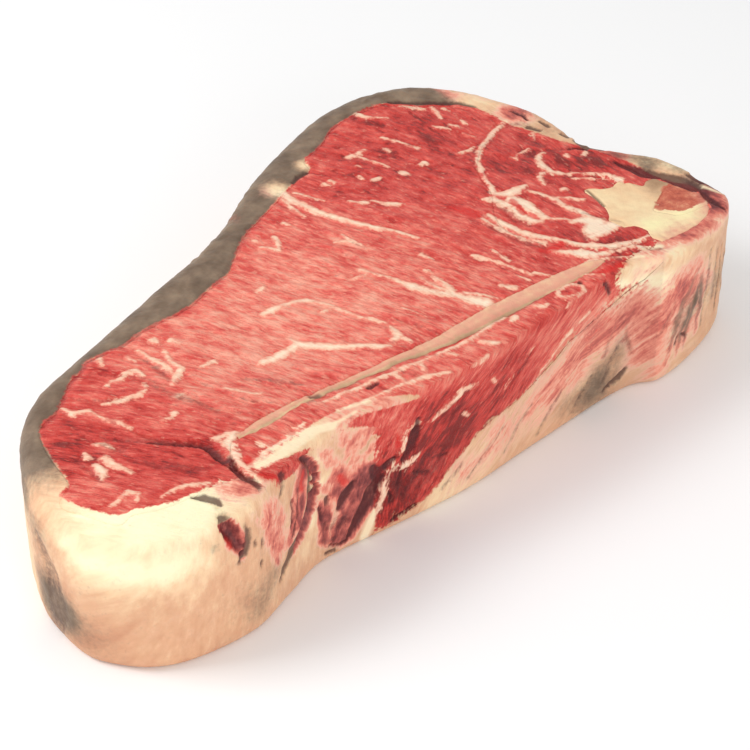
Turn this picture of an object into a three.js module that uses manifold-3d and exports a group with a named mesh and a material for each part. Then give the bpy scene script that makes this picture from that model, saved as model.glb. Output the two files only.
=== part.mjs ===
// A thick raw steak, cut across the loin and lying on its flat underside. Seen from above, a large
// eye of lean fills most of it. A small end muscle sits beside the eye at the right, a thin side
// muscle runs along the front, and a long flat bone lies between that side muscle and the eye. At
// the right end the bone widens into a pale block round a spot of marrow. Fat caps the back and
// the whole left end. Each tissue is one solid that runs down through the steak.
//
// Millimetres, +Z up. The origin is under the middle of the steak's box. The front, -Y, is the long
// sawn side.

import * as THREE from 'three';
import { LoftGeometry } from 'three/addons/geometries/LoftGeometry.js';
import { mergeVertices } from 'three/addons/utils/BufferGeometryUtils.js';
import Module from 'manifold-3d';

// ---- Driving dimensions ------------------------------------------------------------------------

const LENGTH = 221;           // from the fat left end to the bony right end, along X
const WIDTH = 141;            // from the front to the back, along Y
const THICKNESS = 42.4;       // from the underside to the highest point of the cut face
const FACE_DIP = 1.6;         // how far the cut face rises and falls
const TISSUE_GAP = 0.3;       // a hairline left between neighbouring tissues
const OUTLINE_STEPS = 5;      // facets from one point of the outline to the next
const PLAN_STEPS = 4;         // facets from one point of a tissue's edge to the next
const FACE_GRID = 5;          // spacing of the cut face's own relief
const SPILL = 15;             // how far a cutter reaches past the steak
const SMOOTHING = 0.02;       // facets flatter than this are merged
const MERGE_WITHIN = 1e-4;    // corners nearer than this are one corner

// The long shallow swells of the cut face: each one's share of the dip, how fast it turns along X
// and Y in radians for each millimetre, and where it starts.
const SWELLS = [
  { share: 0.5, perX: 0.043, perY: 0.032, start: 0.6 },
  { share: 0.3, perX: 0.09, perY: -0.06, start: 0 },
  { share: 0.2, perX: 0, perY: 0.11, start: 1.3 },
];

// The steak's section was laid out from a corner of its own; this is the middle of that layout.
const MIDDLE = [-0.2, 0.9];

// The widest outline, anticlockwise from the left end. rim is how far the top edge rounds in and
// down, and foot is how far the bottom edge rounds in and up: large at the fat left end, where the
// steak bulges, and small along the sawn front.
const OUTLINE = [
  { at: [-109.6, -32], rim: [9, 10], foot: [2.5, 8] },
  { at: [-110.6, -44], rim: [11, 15], foot: [2.5, 8] },
  { at: [-107.5, -57], rim: [13, 20], foot: [2.5, 6] },
  { at: [-93.5, -68], rim: [14, 21], foot: [2, 4] },
  { at: [-72, -69.3], rim: [10, 18], foot: [2, 3] },
  { at: [-56.5, -63], rim: [4, 5], foot: [2, 2.5] },
  { at: [-43, -57.8], rim: [2.5, 3], foot: [2, 2.5] },
  { at: [-20, -57.3], rim: [2.5, 3], foot: [2, 2.5] },
  { at: [3, -56.3], rim: [2.5, 3], foot: [2, 2.5] },
  { at: [30, -51.8], rim: [2.5, 3], foot: [2, 2.5] },
  { at: [63, -47], rim: [2.5, 3], foot: [2, 2.5] },
  { at: [75, -49.5], rim: [2.5, 3], foot: [2, 2.5] },
  { at: [93, -44.5], rim: [2.5, 3], foot: [2, 2.5] },
  { at: [108.3, -35.5], rim: [2.5, 2.5], foot: [2, 3] },
  { at: [110, -22], rim: [2.5, 2.5], foot: [2, 3] },
  { at: [106.3, -7.3], rim: [3.5, 3], foot: [3, 3] },
  { at: [98.5, 4.5], rim: [4, 3], foot: [3, 3] },
  { at: [94, 12], rim: [4, 3], foot: [3, 3] },
  { at: [94.5, 26.5], rim: [4, 3], foot: [3, 3] },
  { at: [92, 42], rim: [5, 4], foot: [3, 3] },
  { at: [84, 57.5], rim: [6, 4], foot: [3, 3] },
  { at: [71, 68], rim: [7, 4], foot: [3, 3] },
  { at: [54.5, 71.6], rim: [8, 4.5], foot: [3, 3] },
  { at: [37, 68], rim: [8, 4.5], foot: [3, 3] },
  { at: [10, 53], rim: [8, 4.5], foot: [3, 3] },
  { at: [-20, 31], rim: [8, 4.5], foot: [3, 3] },
  { at: [-48, 17.7], rim: [8, 4.5], foot: [3, 3] },
  { at: [-78, 4], rim: [8, 5], foot: [3, 5] },
  { at: [-93.5, -5], rim: [7, 4.5], foot: [3, 6] },
  { at: [-103, -16.5], rim: [7, 6], foot: [3, 8] },
];

// The edge of everything that the fat wraps, anticlockwise. Along the front it lies outside the
// steak, because there the lean comes right to the sawn side.
const CORE_EDGE = [
  [40, -80], [50, -60], [55, -50], [64, -44], [76, -42.5], [90, -41.5], [99, -37], [102.5, -28],
  [98, -18], [95, -5], [91, 5], [86, 15], [82, 27], [80, 40], [73, 50], [62, 57], [49, 60.5],
  [35, 56], [21, 45], [9, 37], [-6, 29], [-20, 18], [-34, 8.5], [-52, 3], [-70, -1], [-84, -7],
  [-94, -15], [-99.5, -23], [-102, -34], [-105.5, -44], [-102, -53], [-95, -57.5], [-84, -59.5],
  [-71, -60.5], [-63, -66], [-62.5, -80],
];

// The long flat bone, sawn lengthwise: its middle line from left to right, with half its width.
const LONG_BONE = [
  { at: [-61, -47.8], half: 0.7 }, { at: [-52, -46.3], half: 1.7 }, { at: [-42, -44.5], half: 1.2 },
  { at: [-28, -44.5], half: 1.2 }, { at: [-10, -44.6], half: 1.6 }, { at: [2, -44.2], half: 2.3 },
  { at: [18, -42.6], half: 3.0 }, { at: [32, -41.6], half: 3.0 }, { at: [42, -41.1], half: 2.8 },
  { at: [51, -40.9], half: 2.2 }, { at: [57.5, -41.2], half: 0.8 },
];

// The block of bone at the right end, anticlockwise, and the spot of marrow in it. Both run on to
// the right as far as the fat there.
const END_BONE_EDGE = [
  [84, -43.5], [95, -43], [103, -38], [107, -28], [100, -19], [90, -14.5], [83, -12.5],
  [77, -11.5], [74.5, -18], [73.5, -26], [76, -33], [77.5, -39],
];
const MARROW_EDGE = [
  [88, -31.5], [93, -35], [99, -34.5], [104, -29], [98, -22.5], [91.5, -25],
];

// The line where the eye meets the end muscle, from the right end of the front to the back fat.
// The end muscle is on its right.
const SEAM = [
  [84, -48], [76, -40.5], [66, -38.5], [57, -32], [50, -24.5], [46.5, -15], [48, -7], [54.5, 3],
  [58.5, 14], [67, 24], [79, 30.5], [86, 36],
];

// The inner edge of the side muscle, from the split in the left end, along the middle of the long
// bone, to the right end of the front. The side muscle is on its right.
const SIDE_LINE = [
  [-66.5, -78], [-66.8, -66], [-66.8, -56], [-64.5, -50.5], [-58, -47.4], [-42, -44.6], [-10, -44.6],
  [18, -42.8], [42, -41.2], [57, -41.1], [66, -42.6], [76, -45], [86, -60],
];

// The fat of the right end stops here, on its way round to the back, and the fat cap begins.
const NOTCH_Y = 8;

// A lip of fat lies under the side muscle along the front: how high it reaches at each place.
const LIP = [
  { at: -28, top: 2 }, { at: -10, top: 9 }, { at: 3, top: 17 }, { at: 22, top: 21 },
  { at: 40, top: 27 }, { at: 56, top: 33 }, { at: 66, top: 36 },
];
const LIP_DEPTH = 9;          // how far the lip reaches in under the muscle

// Splits and hollows in the front of the left end, as bent tapering channels.
const SPLITS = [
  // a split in the cut face, from the middle of the left end to the front edge
  {
    path: [[-80, -31, 42], [-75, -40, 42], [-69, -46.5, 42], [-68, -54, 41.6], [-67, -63, 40.5]],
    radius: 1.7,
  },
  // a hooked split down the front, between the fat of the left end and the side muscle
  {
    path: [[-53, -61, 41], [-47, -60.5, 35], [-45.5, -59.5, 27], [-49, -60.5, 18], [-56, -63.5, 11]],
    radius: 2.3,
  },
  // a deep pocket in the fat, and a smaller one beside it
  { path: [[-78, -60.5, 43], [-76.5, -65, 36.5], [-74.5, -68, 30], [-73.5, -69, 25]], radius: 2.6 },
  { path: [[-62, -60, 43.5], [-59, -63, 39], [-56, -64, 36.5]], radius: 1.9 },
  // hollows where the side muscle has parted from its fat
  { path: [[-38, -57.3, 21], [-32, -58, 13], [-38, -58.2, 5]], radius: 2.2 },
  { path: [[-22, -57.8, 22], [-25, -58.2, 14], [-29, -58.2, 6]], radius: 2.0 },
];
const SPLIT_SIDES = 7;
const SPLIT_RINGS = 8;
const SPLIT_TIP = 0.35;       // radius at a channel's ends, as a share of its middle's

// ---- From closed meshes to solids and back -----------------------------------------------------

const wasm = await Module();
wasm.setup();

function toSolid(geometry) {
  const bare = new THREE.BufferGeometry();
  bare.setAttribute('position', geometry.attributes.position);
  bare.setIndex(geometry.index);
  const merged = mergeVertices(bare, MERGE_WITHIN);
  return new wasm.Manifold(new wasm.Mesh({
    numProp: 3,
    vertProperties: Float32Array.from(merged.attributes.position.array),
    triVerts: Uint32Array.from(merged.index.array),
  }));
}

// The largest piece of a solid, without the slivers that a cut leaves beside it.
function largestPiece(solid) {
  return solid.decompose().reduce((best, piece) => (piece.volume() > best.volume() ? piece : best));
}

function toGeometry(solid) {
  const mesh = largestPiece(solid).simplify(SMOOTHING).getMesh();
  const geometry = new THREE.BufferGeometry();
  geometry.setAttribute('position', new THREE.BufferAttribute(mesh.vertProperties, 3));
  geometry.setIndex(new THREE.BufferAttribute(mesh.triVerts, 1));
  geometry.computeVertexNormals();
  return geometry;
}

// ---- Plan curves and upright cutters -----------------------------------------------------------

const inLayout = ([x, y]) => new THREE.Vector3(x - MIDDLE[0], y - MIDDLE[1], 0);

function planCurve(points, closed) {
  return new THREE.CatmullRomCurve3(points.map(inLayout), closed, 'catmullrom', 0.5);
}

// The points of a closed plan curve, pushed outward by grow. Anticlockwise, as are its points.
function ringOf(curve, count, grow = 0) {
  const ring = [];
  for (let i = 0; i < count; i += 1) {
    const tangent = curve.getTangent(i / count);
    const point = curve.getPoint(i / count);
    ring.push(new THREE.Vector2(point.x + grow * tangent.y, point.y - grow * tangent.x));
  }
  return ring;
}

// An upright prism over a plan polygon, through the whole steak and a little past both faces.
function upright(ring) {
  const geometry = new THREE.ExtrudeGeometry(new THREE.Shape(ring), {
    depth: THICKNESS + 2 * SPILL,
    bevelEnabled: false,
  });
  geometry.translate(0, 0, -SPILL);
  return toSolid(geometry);
}

function closedCutter(points, grow = 0) {
  return upright(ringOf(planCurve(points, true), points.length * PLAN_STEPS, grow));
}

// The ground on the right of an open plan line, out to x = FAR_RIGHT and the given front and back.
function sideCutter(line, corners, grow = 0) {
  const curve = planCurve(line, false);
  const count = (line.length - 1) * PLAN_STEPS;
  const ring = [];
  for (let i = 0; i <= count; i += 1) {
    const tangent = curve.getTangent(i / count);
    const point = curve.getPoint(i / count);
    ring.push(new THREE.Vector2(point.x - grow * tangent.y, point.y + grow * tangent.x));
  }
  corners.map(inLayout).forEach(({ x, y }) => ring.push(new THREE.Vector2(x, y)));
  return upright(ring);
}

// A long leaf about a middle line, with its own half width at each point.
function leafCutter(stations, grow = 0) {
  const middle = planCurve(stations.map((station) => station.at), false);
  const width = new THREE.CatmullRomCurve3(
    stations.map((station) => new THREE.Vector3(station.half, 0, 0)), false, 'catmullrom', 0.5,
  );
  const count = (stations.length - 1) * PLAN_STEPS;
  const near = [];
  const far = [];
  for (let i = 0; i <= count; i += 1) {
    const point = middle.getPoint(i / count);
    const tangent = middle.getTangent(i / count);
    const half = width.getPoint(i / count).x + grow;
    near.push(new THREE.Vector2(point.x + half * tangent.y, point.y - half * tangent.x));
    far.unshift(new THREE.Vector2(point.x - half * tangent.y, point.y + half * tangent.x));
  }
  return upright([...near, ...far]);
}

// ---- The whole steak, before its tissues are parted --------------------------------------------

// Rings from the flat underside up the bulging side to the cut face. A rim is a quarter of an
// ellipse from the face to the side, and so is the foot.
function steakBlock() {
  const edge = planCurve(OUTLINE.map((point) => point.at), true);
  const spread = (key) => new THREE.CatmullRomCurve3(
    OUTLINE.map((point) => new THREE.Vector3(...point[key], 0)), true, 'catmullrom', 0.5,
  );
  const rims = spread('rim');
  const feet = spread('foot');
  const around = OUTLINE.length * OUTLINE_STEPS;
  const quarterIn = (turn) => 1 - Math.sin(turn * Math.PI / 2);
  const quarterUp = (turn) => 1 - Math.cos(turn * Math.PI / 2);

  const levels = [
    ...[0, 0.35, 0.7, 1].map((turn) => (rim, foot) => (
      { inset: foot.x * quarterIn(turn), height: foot.y * quarterUp(turn) }
    )),
    ...[0.5].map((share) => (rim, foot) => (
      { inset: 0, height: foot.y + share * (THICKNESS - rim.y - foot.y) }
    )),
    ...[1, 0.75, 0.5, 0.25, 0].map((turn) => (rim) => (
      { inset: rim.x * quarterIn(turn), height: THICKNESS - rim.y * quarterUp(turn) }
    )),
  ];
  const sections = levels.map((level) => {
    const section = [];
    for (let i = 0; i < around; i += 1) {
      const share = i / around;
      const point = edge.getPoint(share);
      const tangent = edge.getTangent(share);
      const { inset, height } = level(rims.getPoint(share), feet.getPoint(share));
      section.push(new THREE.Vector3(point.x - inset * tangent.y, point.y + inset * tangent.x, height));
    }
    return section;
  });
  return toSolid(new LoftGeometry(sections, { closed: true, capStart: true, capEnd: true }));
}

// How far the cut face lies below its highest level at a place.
function faceDip(x, y) {
  const swell = SWELLS.reduce((sum, { share, perX, perY, start }) => (
    sum + share * Math.sin(x * perX + y * perY + start)
  ), 0);
  return FACE_DIP * 0.5 * (1 - swell);
}

// A block whose upper side is the cut face with its swells; the steak is cut down to it.
function faceBlock() {
  const long = LENGTH + 2 * SPILL;
  const wide = WIDTH + 2 * SPILL;
  const block = new THREE.BoxGeometry(
    long, wide, THICKNESS + SPILL, Math.round(long / FACE_GRID), Math.round(wide / FACE_GRID), 1,
  );
  block.translate(0, 0, (THICKNESS - SPILL) / 2);
  const place = block.attributes.position;
  for (let i = 0; i < place.count; i += 1) {
    if (place.getZ(i) > 0) {
      place.setZ(i, THICKNESS - faceDip(place.getX(i), place.getY(i)));
    }
  }
  return toSolid(block);
}

// A bent channel that tapers to both ends: rings of a few sides across a curve through the path.
function channel({ path, radius }) {
  const curve = new THREE.CatmullRomCurve3(
    path.map(([x, y, z]) => new THREE.Vector3(x - MIDDLE[0], y - MIDDLE[1], z)),
  );
  const frames = curve.computeFrenetFrames(SPLIT_RINGS, false);
  const sections = [];
  for (let i = 0; i <= SPLIT_RINGS; i += 1) {
    const taper = SPLIT_TIP + (1 - SPLIT_TIP) * Math.sin(Math.PI * i / SPLIT_RINGS);
    const middle = curve.getPoint(i / SPLIT_RINGS);
    const section = [];
    for (let k = 0; k < SPLIT_SIDES; k += 1) {
      const turn = 2 * Math.PI * k / SPLIT_SIDES;
      section.push(middle.clone()
        .addScaledVector(frames.normals[i], radius * taper * Math.cos(turn))
        .addScaledVector(frames.binormals[i], radius * taper * Math.sin(turn)));
    }
    sections.push(section);
  }
  return toSolid(new LoftGeometry(sections, { closed: true, capStart: true, capEnd: true }));
}

// The lip of fat under the side muscle: a wedge along the front, carried from left to right.
function frontLip(grow = 0) {
  const line = planCurve(OUTLINE.map((point) => point.at), true).getPoints(400);
  const front = line.filter((point) => point.y < -30);
  const sections = LIP.map(({ at, top }) => {
    const x = at - MIDDLE[0];
    const side = front.reduce((best, point) => (
      Math.abs(point.x - x) < Math.abs(best.x - x) ? point : best
    ));
    return [
      new THREE.Vector3(x, side.y - SPILL, -SPILL),
      new THREE.Vector3(x, side.y + LIP_DEPTH + grow, -SPILL),
      new THREE.Vector3(x, side.y + LIP_DEPTH + grow, 0),
      new THREE.Vector3(x, side.y, top + grow),
      new THREE.Vector3(x, side.y - SPILL, top + grow),
    ];
  });
  return toSolid(new LoftGeometry(sections, { closed: true, capStart: true, capEnd: true }));
}

// ---- Parting the steak into its tissues --------------------------------------------------------

const FAR = 130;              // well outside the steak, on every side
const BARE_FRONT_X = 20;      // in the stretch of the front that no fat wraps

const whole = SPLITS.reduce(
  (steak, split) => steak.subtract(channel(split)),
  steakBlock().intersect(faceBlock()),
);

// The fat: all that lies outside the core, parted at the notch, and the lip under the front.
const wrap = whole.subtract(closedCutter(CORE_EDGE, TISSUE_GAP / 2));
const atRightEnd = (gap) => sideCutter(
  [[BARE_FRONT_X, NOTCH_Y + gap], [FAR, NOTCH_Y + gap]], [[FAR, -FAR], [BARE_FRONT_X, -FAR]],
);
const endFat = wrap.intersect(atRightEnd(0)).add(whole.intersect(frontLip()));
const fatCap = wrap.subtract(atRightEnd(TISSUE_GAP));

// The core: the bones first, then the flesh that they leave.
const core = whole.intersect(closedCutter(CORE_EDGE, -TISSUE_GAP / 2)).subtract(frontLip(TISSUE_GAP));
const longBone = core.intersect(leafCutter(LONG_BONE));
const endBone = core.intersect(closedCutter(END_BONE_EDGE))
  .subtract(closedCutter(MARROW_EDGE, TISSUE_GAP));
const marrow = core.intersect(closedCutter(MARROW_EDGE));
const flesh = core.subtract(leafCutter(LONG_BONE, TISSUE_GAP))
  .subtract(closedCutter(END_BONE_EDGE, TISSUE_GAP))
  .subtract(closedCutter(MARROW_EDGE, TISSUE_GAP));

const alongFront = (gap) => sideCutter(SIDE_LINE, [[FAR, -FAR], [-66.5, -FAR]], gap);
const besideSeam = (gap) => sideCutter(SEAM, [[FAR, 36], [FAR, -48]], gap);
const sideMuscle = flesh.intersect(alongFront(0));
const inner = flesh.subtract(alongFront(TISSUE_GAP));
const endMuscle = inner.intersect(besideSeam(0));
const eyeMuscle = inner.subtract(besideSeam(TISSUE_GAP));

// ---- The parts ---------------------------------------------------------------------------------

const TISSUES = {
  fat_cap: { solid: fatCap, color: 0xe6cdaa, roughness: 0.5 },
  end_fat: { solid: endFat, color: 0xdfa98e, roughness: 0.5 },
  eye_muscle: { solid: eyeMuscle, color: 0xcf4b44, roughness: 0.42 },
  end_muscle: { solid: endMuscle, color: 0xc4443f, roughness: 0.42 },
  side_muscle: { solid: sideMuscle, color: 0xc65a4e, roughness: 0.42 },
  long_bone: { solid: longBone, color: 0xc9ad8d, roughness: 0.55 },
  end_bone: { solid: endBone, color: 0xe9d09f, roughness: 0.55 },
  marrow: { solid: marrow, color: 0xb9654b, roughness: 0.6 },
};

const steak = new THREE.Group();
for (const [name, { solid, color, roughness }] of Object.entries(TISSUES)) {
  const material = new THREE.MeshStandardMaterial({ color, roughness, metalness: 0 });
  const tissue = new THREE.Mesh(toGeometry(solid), material);
  tissue.name = name;
  steak.add(tissue);
}

export default steak;
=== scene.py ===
# %% [markdown]
# # A thick raw bone-in steak
#
# A steak is a slice across a muscle, so its cut face is a map: a large eye of lean, small muscles
# beside it, sheets of fat between them, bone, and a cap of fat round the outside. Every one of
# those tissues runs down through the slice.
#
# The steak could be one mesh with a painted picture on it. Here each tissue is its own closed
# mesh, and all of them share one height for the cut face, so that grain, veins and creases run on
# from one to the next. No picture is laid on: marks are lines and patches with real sizes, and
# some of them are painted shade and painted highlights.

import bpy
import numpy as np
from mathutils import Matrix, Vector
from mathutils.geometry import delaunay_2d_cdt


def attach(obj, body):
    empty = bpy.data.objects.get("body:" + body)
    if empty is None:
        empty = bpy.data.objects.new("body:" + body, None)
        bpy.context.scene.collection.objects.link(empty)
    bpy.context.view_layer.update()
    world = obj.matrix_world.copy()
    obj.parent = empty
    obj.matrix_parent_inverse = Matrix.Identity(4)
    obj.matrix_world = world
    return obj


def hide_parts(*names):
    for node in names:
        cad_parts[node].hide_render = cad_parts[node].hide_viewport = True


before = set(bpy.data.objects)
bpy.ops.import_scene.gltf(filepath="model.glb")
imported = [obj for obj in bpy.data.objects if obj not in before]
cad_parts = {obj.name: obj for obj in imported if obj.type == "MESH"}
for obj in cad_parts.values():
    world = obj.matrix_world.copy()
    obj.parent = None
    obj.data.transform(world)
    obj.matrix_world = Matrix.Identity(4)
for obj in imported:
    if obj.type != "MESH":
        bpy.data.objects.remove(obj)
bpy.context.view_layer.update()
print("tissues:", ", ".join(sorted(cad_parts)))

# %% [markdown]
# ## The slice
#
# The slice lies flat. Its side is sawn nearly square along the front, and at the fat left end it
# bulges, so that its upper edge rounds far over. One closed curve through a few points gives the
# widest outline. Each point also says how far the upper edge (rim) and the lower edge (foot) round
# in, and how far down or up that rounding goes, all in millimetres.

# %% Driving sizes, in millimetres
THICKNESS = 42.4
FACE_DIP = 1.6
MIDDLE = (-0.2, 0.9)            # the middle of the layout that the outline is drawn in
SWELLS = (                      # share of the dip, turn along X and along Y, start
    (0.5, 0.043, 0.032, 0.6),
    (0.3, 0.09, -0.06, 0.0),
    (0.2, 0.0, 0.11, 1.3),
)
OUTLINE = (                     # x, y, rim in and down, foot in and up
    (-109.6, -32, 9, 10, 2.5, 8),
    (-110.6, -44, 11, 15, 2.5, 8),
    (-107.5, -57, 13, 20, 2.5, 6),
    (-93.5, -68, 14, 21, 2, 4),
    (-72, -69.3, 10, 18, 2, 3),
    (-56.5, -63, 4, 5, 2, 2.5),
    (-43, -57.8, 2.5, 3, 2, 2.5),
    (-20, -57.3, 2.5, 3, 2, 2.5),
    (3, -56.3, 2.5, 3, 2, 2.5),
    (30, -51.8, 2.5, 3, 2, 2.5),
    (63, -47, 2.5, 3, 2, 2.5),
    (75, -49.5, 2.5, 3, 2, 2.5),
    (93, -44.5, 2.5, 3, 2, 2.5),
    (108.3, -35.5, 2.5, 2.5, 2, 3),
    (110, -22, 2.5, 2.5, 2, 3),
    (106.3, -7.3, 3.5, 3, 3, 3),
    (98.5, 4.5, 4, 3, 3, 3),
    (94, 12, 4, 3, 3, 3),
    (94.5, 26.5, 4, 3, 3, 3),
    (92, 42, 5, 4, 3, 3),
    (84, 57.5, 6, 4, 3, 3),
    (71, 68, 7, 4, 3, 3),
    (54.5, 71.6, 8, 4.5, 3, 3),
    (37, 68, 8, 4.5, 3, 3),
    (10, 53, 8, 4.5, 3, 3),
    (-20, 31, 8, 4.5, 3, 3),
    (-48, 17.7, 8, 4.5, 3, 3),
    (-78, 4, 8, 5, 3, 5),
    (-93.5, -5, 7, 4.5, 3, 6),
    (-103, -16.5, 7, 6, 3, 8),
)
COLUMN_STEP = 0.6               # between two columns of points round the side


# %% A smooth curve through a few points
def smooth_curve(points, closed, step):
    """Points about `step` apart on a curve through the given ones.

    From one given point to the next the curve is the cubic that leaves along the line between the
    neighbours of the first and arrives along the line between the neighbours of the second. It is
    worked out finely and then resampled by length. Columns after x and y follow the same cubic.
    """
    given = np.asarray(points, float)
    if closed:
        before, start = np.roll(given, 1, 0), given
        end, after = np.roll(given, -1, 0), np.roll(given, -2, 0)
    else:
        padded = np.vstack([2 * given[0] - given[1], given, 2 * given[-1] - given[-2]])
        before, start, end, after = padded[:-3], padded[1:-2], padded[2:-1], padded[3:]
    t = np.linspace(0, 1, 33)[:-1, None, None]
    fine = 0.5 * (
        2 * start
        + (end - before) * t
        + (2 * before - 5 * start + 4 * end - after) * t**2
        + (3 * start - before - 3 * end + after) * t**3
    )
    fine = fine.transpose(1, 0, 2).reshape(-1, given.shape[1])
    fine = np.vstack([fine, given[:1] if closed else given[-1:]])
    gone = np.concatenate([[0], np.cumsum(np.hypot(*np.diff(fine[:, :2], axis=0).T))])
    at = np.linspace(0, gone[-1], max(2, round(gone[-1] / step)) + 1)
    even = np.stack([np.interp(at, gone, column) for column in fine.T], 1)
    return even[:-1] if closed else even


edge = smooth_curve(OUTLINE, True, COLUMN_STEP)
along = np.roll(edge, -1, 0)[:, :2] - np.roll(edge, 1, 0)[:, :2]
along /= np.linalg.norm(along, axis=1)[:, None]
outward = np.stack([along[:, 1], -along[:, 0]], 1)
perimeter = np.hypot(*(np.roll(edge, -1, 0) - edge)[:, :2].T).sum()
print(f"{len(edge)} columns round a side {perimeter:.0f} mm long")

# %% [markdown]
# ## The height of the cut face
#
# A knife leaves long shallow swells in soft meat. The face is the full thickness less a sum of
# three slow sines, and near the outline it follows a quarter of an ellipse over the rim.

# %% Heights
RIM_TURN = np.pi / 4            # the face hands over to the side this far round the rim
SMALL_RIM, LARGE_RIM = 4, 12    # a rim this low hangs from the swelling face, one this high doesn't
RIM_EASE = 1.5                  # over this height the face and a large rim ease into each other
AT_ONCE = 10000                 # points compared with a whole ring at a time, to spare memory
rim_start = edge[:, 2] * (1 - np.sin(RIM_TURN))     # how far in the face ends at each column


def nearest_column(points):
    """For plan points, the nearest column of the outline and how far inside the outline they lie."""
    best = np.empty(len(points), int)
    here = edge[:, :2]
    for part in np.array_split(np.arange(len(points)), len(points) // AT_ONCE + 1):
        best[part] = ((here**2).sum(1) - 2 * points[part] @ here.T).argmin(1)
    return best, ((here[best] - points) * outward[best]).sum(1)


def face_dip(points):
    """How far the swells carry the face below its highest level: half the dip, less each sine's share."""
    x, y = (points - MIDDLE).T
    waves = sum(share * np.sin(x * per_x + y * per_y + start) for share, per_x, per_y, start in SWELLS)
    return FACE_DIP * 0.5 * (1 - waves)


def hanging(rim_down):
    """1 where a small rim hangs from the swelling face, 0 where a large one cuts off the swells."""
    return np.clip((LARGE_RIM - rim_down) / (LARGE_RIM - SMALL_RIM), 0, 1)


def face_height(points, column, inside):
    """The lower of the swelling face and the elliptic rim, eased into each other on the left end."""
    rim_in, rim_down = edge[column, 2:4].T
    dip = face_dip(points)
    hang = hanging(rim_down)
    turn = np.clip((rim_in - inside) / rim_in, 0, 1)
    rim = THICKNESS - hang * dip - rim_down * (1 - np.sqrt(1 - turn**2))
    face = THICKNESS - dip
    ease = RIM_EASE * (1 - hang) + 1e-6
    near = np.clip(ease - np.abs(face - rim), 0, None) / ease
    return np.minimum(face, rim) - near**2 * ease / 4, turn


print(f"the face ends {rim_start.min():.1f} to {rim_start.max():.1f} mm inside the outline")

# %% [markdown]
# ## Where one tissue ends and the next begins
#
# On a real slice these borders are sheets of gristle and fat seen end on. Each is a plan curve:
# the edge of everything that fat wraps, the two bones, the marrow, and two seams between muscles.
# One net of triangles over the whole face keeps every curve as edges, and each triangle then
# belongs to one tissue. Cutting one net is exact, where boolean cuts would leave slivers.

# %% The borders, in plan
CORE_EDGE = (
    (40, -80), (50, -60), (55, -50), (64, -44), (76, -42.5), (90, -41.5), (99, -37), (102.5, -28),
    (98, -18), (95, -5), (91, 5), (86, 15), (82, 27), (80.5, 33), (80, 38), (79, 42), (77, 46),
    (74, 49.5), (70, 52), (66, 53), (62, 57), (57, 60), (50, 60.5), (45, 59.5), (38, 57.5),
    (32, 53), (27, 50), (22, 47.5), (21, 45), (20, 42), (15, 40), (11, 38), (4, 34), (0, 31.5),
    (-5, 29), (-12, 25), (-17, 21), (-22, 16), (-26, 12), (-30, 10), (-35, 8), (-40, 5.5),
    (-46, 4), (-52, 3), (-58, 2), (-65, -0.5), (-70, -0.8), (-76, -1.5), (-79, -4), (-82, -5),
    (-85, -8), (-89, -12), (-92, -15), (-97, -17), (-99.5, -22), (-101, -30), (-102, -40),
    (-106, -43), (-104, -49), (-101, -54), (-98, -57), (-95, -57), (-90, -59), (-84, -60),
    (-71, -60.5), (-63, -66), (-62.5, -80),
)
LONG_BONE = (                   # middle line from left to right, and half its width
    (-61, -47.8, 0.7), (-52, -46.3, 1.7), (-42, -44.5, 1.2), (-28, -44.5, 1.2), (-10, -44.6, 1.6),
    (2, -44.2, 2.3), (18, -42.6, 3.0), (32, -41.6, 3.0), (42, -41.1, 2.8), (51, -40.9, 2.2),
    (57.5, -41.2, 0.8),
)
END_BONE_EDGE = (
    (84, -43.5), (95, -43), (103, -38), (107, -28), (100, -18), (95, -16), (92, -17.5), (90, -15),
    (87, -12.5), (84, -13.5), (81, -13), (78, -10.5), (76, -11), (76, -15), (75.5, -20),
    (74, -24), (72, -27), (73, -31), (76, -33), (77, -36), (76, -39.5), (78, -43),
)
MARROW_EDGE = (
    (86, -29), (89, -26.5), (93, -24), (97, -22), (103, -23.5), (107, -29), (102, -34.3),
    (97, -35), (91, -34.8), (88, -32),
)
SEAM = (                        # the end muscle lies on its right
    (84, -48), (76, -40.5), (66, -38.5), (57, -32), (50, -24.5), (46.5, -15), (48, -7), (54.5, 3),
    (58.5, 14), (67, 24), (79, 30.5), (86, 36),
)
SIDE_LINE = (                   # the side muscle lies on its right
    (-66.5, -78), (-66.8, -66), (-66.8, -56), (-64.5, -50.5), (-61, -47.9), (-52, -46.3),
    (-42, -44.6), (-10, -44.6), (18, -42.8), (42, -41.2), (57, -41.1), (66, -42.6), (76, -45),
    (86, -60),
)
NOTCH_Y = 8                     # the fat of the right end hands over to the fat cap here
NOTCH_FROM, NOTCH_TO = 70, 115
BORDER_STEP = 0.6
FACE_STEP = 0.46                # between points of the cut face
UNDER_STEP = 1.2                # between points of the underside, which is flat
BORDER_GAP = 0.2                # no free point of the face lies nearer to a border than this
FAR = 130

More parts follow.
